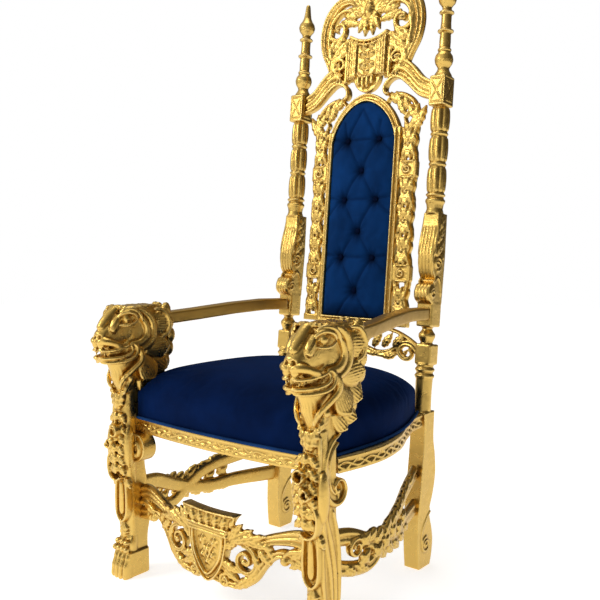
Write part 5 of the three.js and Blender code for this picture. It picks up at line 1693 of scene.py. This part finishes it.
def pad_folds():
    """Pairs of neighbouring buttons, and buttons to the edge of the pad."""
    lines = []
    for i, a in enumerate(BUTTONS):
        for b in BUTTONS[i + 1:]:
            if 60 < np.hypot(*(a - b)) < 130 and abs(a[0] - b[0]) > 30:
                lines.append((a, b))
    for x, h in BUTTONS:
        if x:
            lines += [((x, h), (np.sign(x) * 118, h + 8)), ((x, h), (np.sign(x) * 118, h - 46))]
    lines += [((0, 354), (-60, 276)), ((0, 354), (60, 276)), ((-61.5, 843), (-70, 900)),
              ((61.5, 843), (70, 900)),
              ((-61.5, 843), (0, 940)), ((61.5, 843), (0, 940))]
    return lines


def tufted_pad():
    """Front surface on a grid: a dome that falls to the frame, minus folds and the pits of the buttons."""
    bottom = BACK_BOTTOM + MOULDING - 1
    top = ARCH_SPRING + ARCH_RISE - MOULDING * 1.5 + 2
    v = np.linspace(0, 1, 260)
    h = bottom + (top - bottom) * v
    u = np.linspace(-1, 1, 121)
    width = np.maximum(pad_width(h, -1.5), 1.0)
    x = width[:, None] * np.sin(u * math.pi / 2)[None]
    hh = np.broadcast_to(h[:, None], x.shape)
    edge = np.minimum(1 - np.abs(x) / width[:, None], np.minimum((hh - bottom) / 110, (top - hh) / 95))
    dome = 19.0 * np.clip(edge * 2.6, 0, 1) ** 0.42
    folds = np.zeros_like(x)
    for a, b in pad_folds():
        folds = np.maximum(folds, fold_depth(x, hh, a, b, 6.5))
    pits, star = np.zeros_like(x), np.zeros_like(x)
    for bx, bh in BUTTONS:
        pits = np.maximum(pits, np.exp(-((np.hypot(x - bx, hh - bh) / 19) ** 1.4)))
        turn = np.arctan2(hh - bh, x - bx)
        far = np.hypot(x - bx, hh - bh)
        star += 1.1 * np.cos(9 * turn + bh) * np.exp(-(((far - 26) / 15) ** 2))
    raised = dome - 5.5 * folds * np.clip(dome / 12, 0, 1) - 17 * pits + star * np.clip(dome / 12, 0, 1)
    ripple = 0.7 * np.sin(x / 7 + np.sin(hh / 19) * 2) * (1 - folds)
    y_front = -1.5 - np.clip(raised + ripple * np.clip(dome / 12, 0, 1), 1.0, 24)
    y_back = np.full_like(x, 7.5)
    rings = np.concatenate([np.stack([x, y_front, hh], -1), np.stack([x, y_back, hh], -1)[:, ::-1]], 1)
    return rings_shape(rings)


pad_shape = bent(tufted_pad(), lean)
pad = mesh_object("tufted_back_pad", (to_row(pad_shape[0]), pad_shape[1]))


def paint_tuft_shade():
    """Stores painted shade: how deep each point lies in a button pit or fold, or how near the bottom edge, so
    the cloth is darkened there.
    """
    p = coordinates(pad.data) / MM - np.array([0.0, SHIFT_Y, 0.0])
    c, s = math.cos(POST_LEAN), math.sin(POST_LEAN)
    h = (p[:, 2] - SEAT_TOP) * c + (p[:, 1] - POST_AXIS_Y) * s
    deep = np.zeros(len(p))
    for bx, bh in BUTTONS:
        deep = np.maximum(deep, np.exp(-((np.hypot((p[:, 0] - bx) * 1.15, h - bh + 4) / 24) ** 1.8)))
    for a, b in pad_folds():
        deep = np.maximum(deep, 0.35 * fold_depth(p[:, 0], h, a, b, 5.0))
    low = np.clip(1 - (h - BACK_BOTTOM - MOULDING) / 45, 0, 1)
    tuft_shade = pad.data.attributes.new("tuft_shade", "FLOAT", "POINT")
    tuft_shade.data.foreach_set("value", np.clip(deep + 0.7 * low, 0, 0.96).astype(np.float32))


# Painted shade for the pad's pits, folds and bottom edge, stored on its points.
paint_tuft_shade()
finished(pad, VELVET_BACK, "velvet", "back_pad", padding=0.9)


def buttons():
    """Covered buttons, slightly domed, one in each pit."""
    made = [bent(ball((x, -6.5, h), (8.5, 4.0, 8.5), 20), lean) for x, h in BUTTONS]
    return join(made)


button_shape = buttons()
button_set = mesh_object("pad_buttons", (to_row(button_shape[0]), button_shape[1]))
finished(button_set, BUTTON, "velvet")
print("pad faces", len(pad.data.polygons), "buttons", len(BUTTONS))
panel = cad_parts["back_panel"]
panel.data.materials.clear()
panel.data.materials.append(VELVET_BACK)

# %% [markdown]
# ## Floor, light and camera
# A pale floor and broad soft lights suit gold, which shows what it reflects. The camera stands to the
# front right at the height of the armrests.

# %% Studio
def studio():
    """Pale floor, large soft lights, and a white world with shading for the gold to reflect."""
    corners = np.array([[-9, -9, 0], [9, -9, 0], [9, 9, 0], [-9, 9, 0]], float)
    floor = mesh_object("studio_floor", (corners, np.array([[0, 1, 2, 3]])))
    pale = bpy.data.materials.new("pale_floor")
    pale.use_nodes = True
    paint = pale.node_tree.nodes["Principled BSDF"]
    paint.inputs["Base Color"].default_value = (0.9, 0.9, 0.9, 1)
    paint.inputs["Roughness"].default_value = 1.0
    paint.inputs["Specular IOR Level"].default_value = 0.0
    paint.inputs["Emission Color"].default_value = (1, 1, 1, 1)
    paint.inputs["Emission Strength"].default_value = 0.7
    floor.data.materials.append(pale)
    world = bpy.data.worlds.new("studio_world")
    bpy.context.scene.world = world
    world.use_nodes = True
    tree = world.node_tree
    sky = tree.nodes["Background"]
    way = node(tree, "ShaderNodeTexCoord")
    facing = node(tree, "ShaderNodeVectorMath", operation="DOT_PRODUCT")
    facing.inputs[1].default_value = Vector((-0.62, -0.5, 0.6)).normalized()
    tree.links.new(way.outputs["Generated"], facing.inputs[0])
    shade = ramp(tree, [(0.0, (0.05, 0.042, 0.038)), (0.42, (0.11, 0.1, 0.09)), (0.62, (0.23, 0.22, 0.21)),
                        (0.80, (0.46, 0.45, 0.435)), (1.0, (0.78, 0.77, 0.75))])
    toward = node(tree, "ShaderNodeMapRange", in_1=-1.0, in_2=1.0)
    tree.links.new(facing.outputs["Value"], toward.inputs["Value"])
    tree.links.new(toward.outputs["Result"], shade.inputs["Fac"])
    seen = node(tree, "ShaderNodeLightPath")
    choice = node(tree, "ShaderNodeMix", data_type="RGBA")
    choice.inputs["B"].default_value = (1.0, 1.0, 1.0, 1)
    tree.links.new(seen.outputs["Is Camera Ray"], choice.inputs["Factor"])
    tree.links.new(shade.outputs["Color"], choice.inputs["A"])
    tree.links.new(choice.outputs["Result"], sky.inputs["Color"])
    lights = [("key_light", (-2.4, -3.2, 3.0), 1.3, 54.0), ("front_light", (0.9, -4.0, 1.6), 1.0, 11.0),
              ("top_light", (-0.3, 0.2, 4.2), 1.6, 25.0)]
    for name, place, size, power in lights:
        data = bpy.data.lights.new(name, "AREA")
        data.size, data.energy = size, power
        lamp = bpy.data.objects.new(name, data)
        bpy.context.scene.collection.objects.link(lamp)
        lamp.location = place
        lamp.rotation_euler = (Vector((0, 0, 0.9)) - Vector(place)).to_track_quat("-Z", "Y").to_euler()
    bpy.context.scene.view_settings.view_transform = "Standard"


studio()


# %% [markdown]
# ## The camera
# It stands to the front right with a normal lens, and a slight shift frames the chair without tilting it.

# %% Camera
def photographer():
    """Camera at the front right: yaw to the left and slightly down, with a small shift for the framing."""
    data = bpy.data.cameras.new("camera")
    data.sensor_width = 36.0
    data.lens = 47.87
    data.shift_x, data.shift_y = -0.0137, -0.0225
    camera = bpy.data.objects.new("camera", data)
    bpy.context.scene.collection.objects.link(camera)
    camera.location = (1.5106, -1.9918 + SHIFT_Y * MM, 1.0044)
    camera.rotation_euler = (math.radians(90 - 3.76), 0, math.radians(39.1))
    bpy.context.scene.camera = camera


photographer()

# %% [markdown]
# ## Finish
# The dressed throne has to fill the same box as the CAD model; the view layer is updated at the end.

# %% The end
bpy.context.view_layer.update()
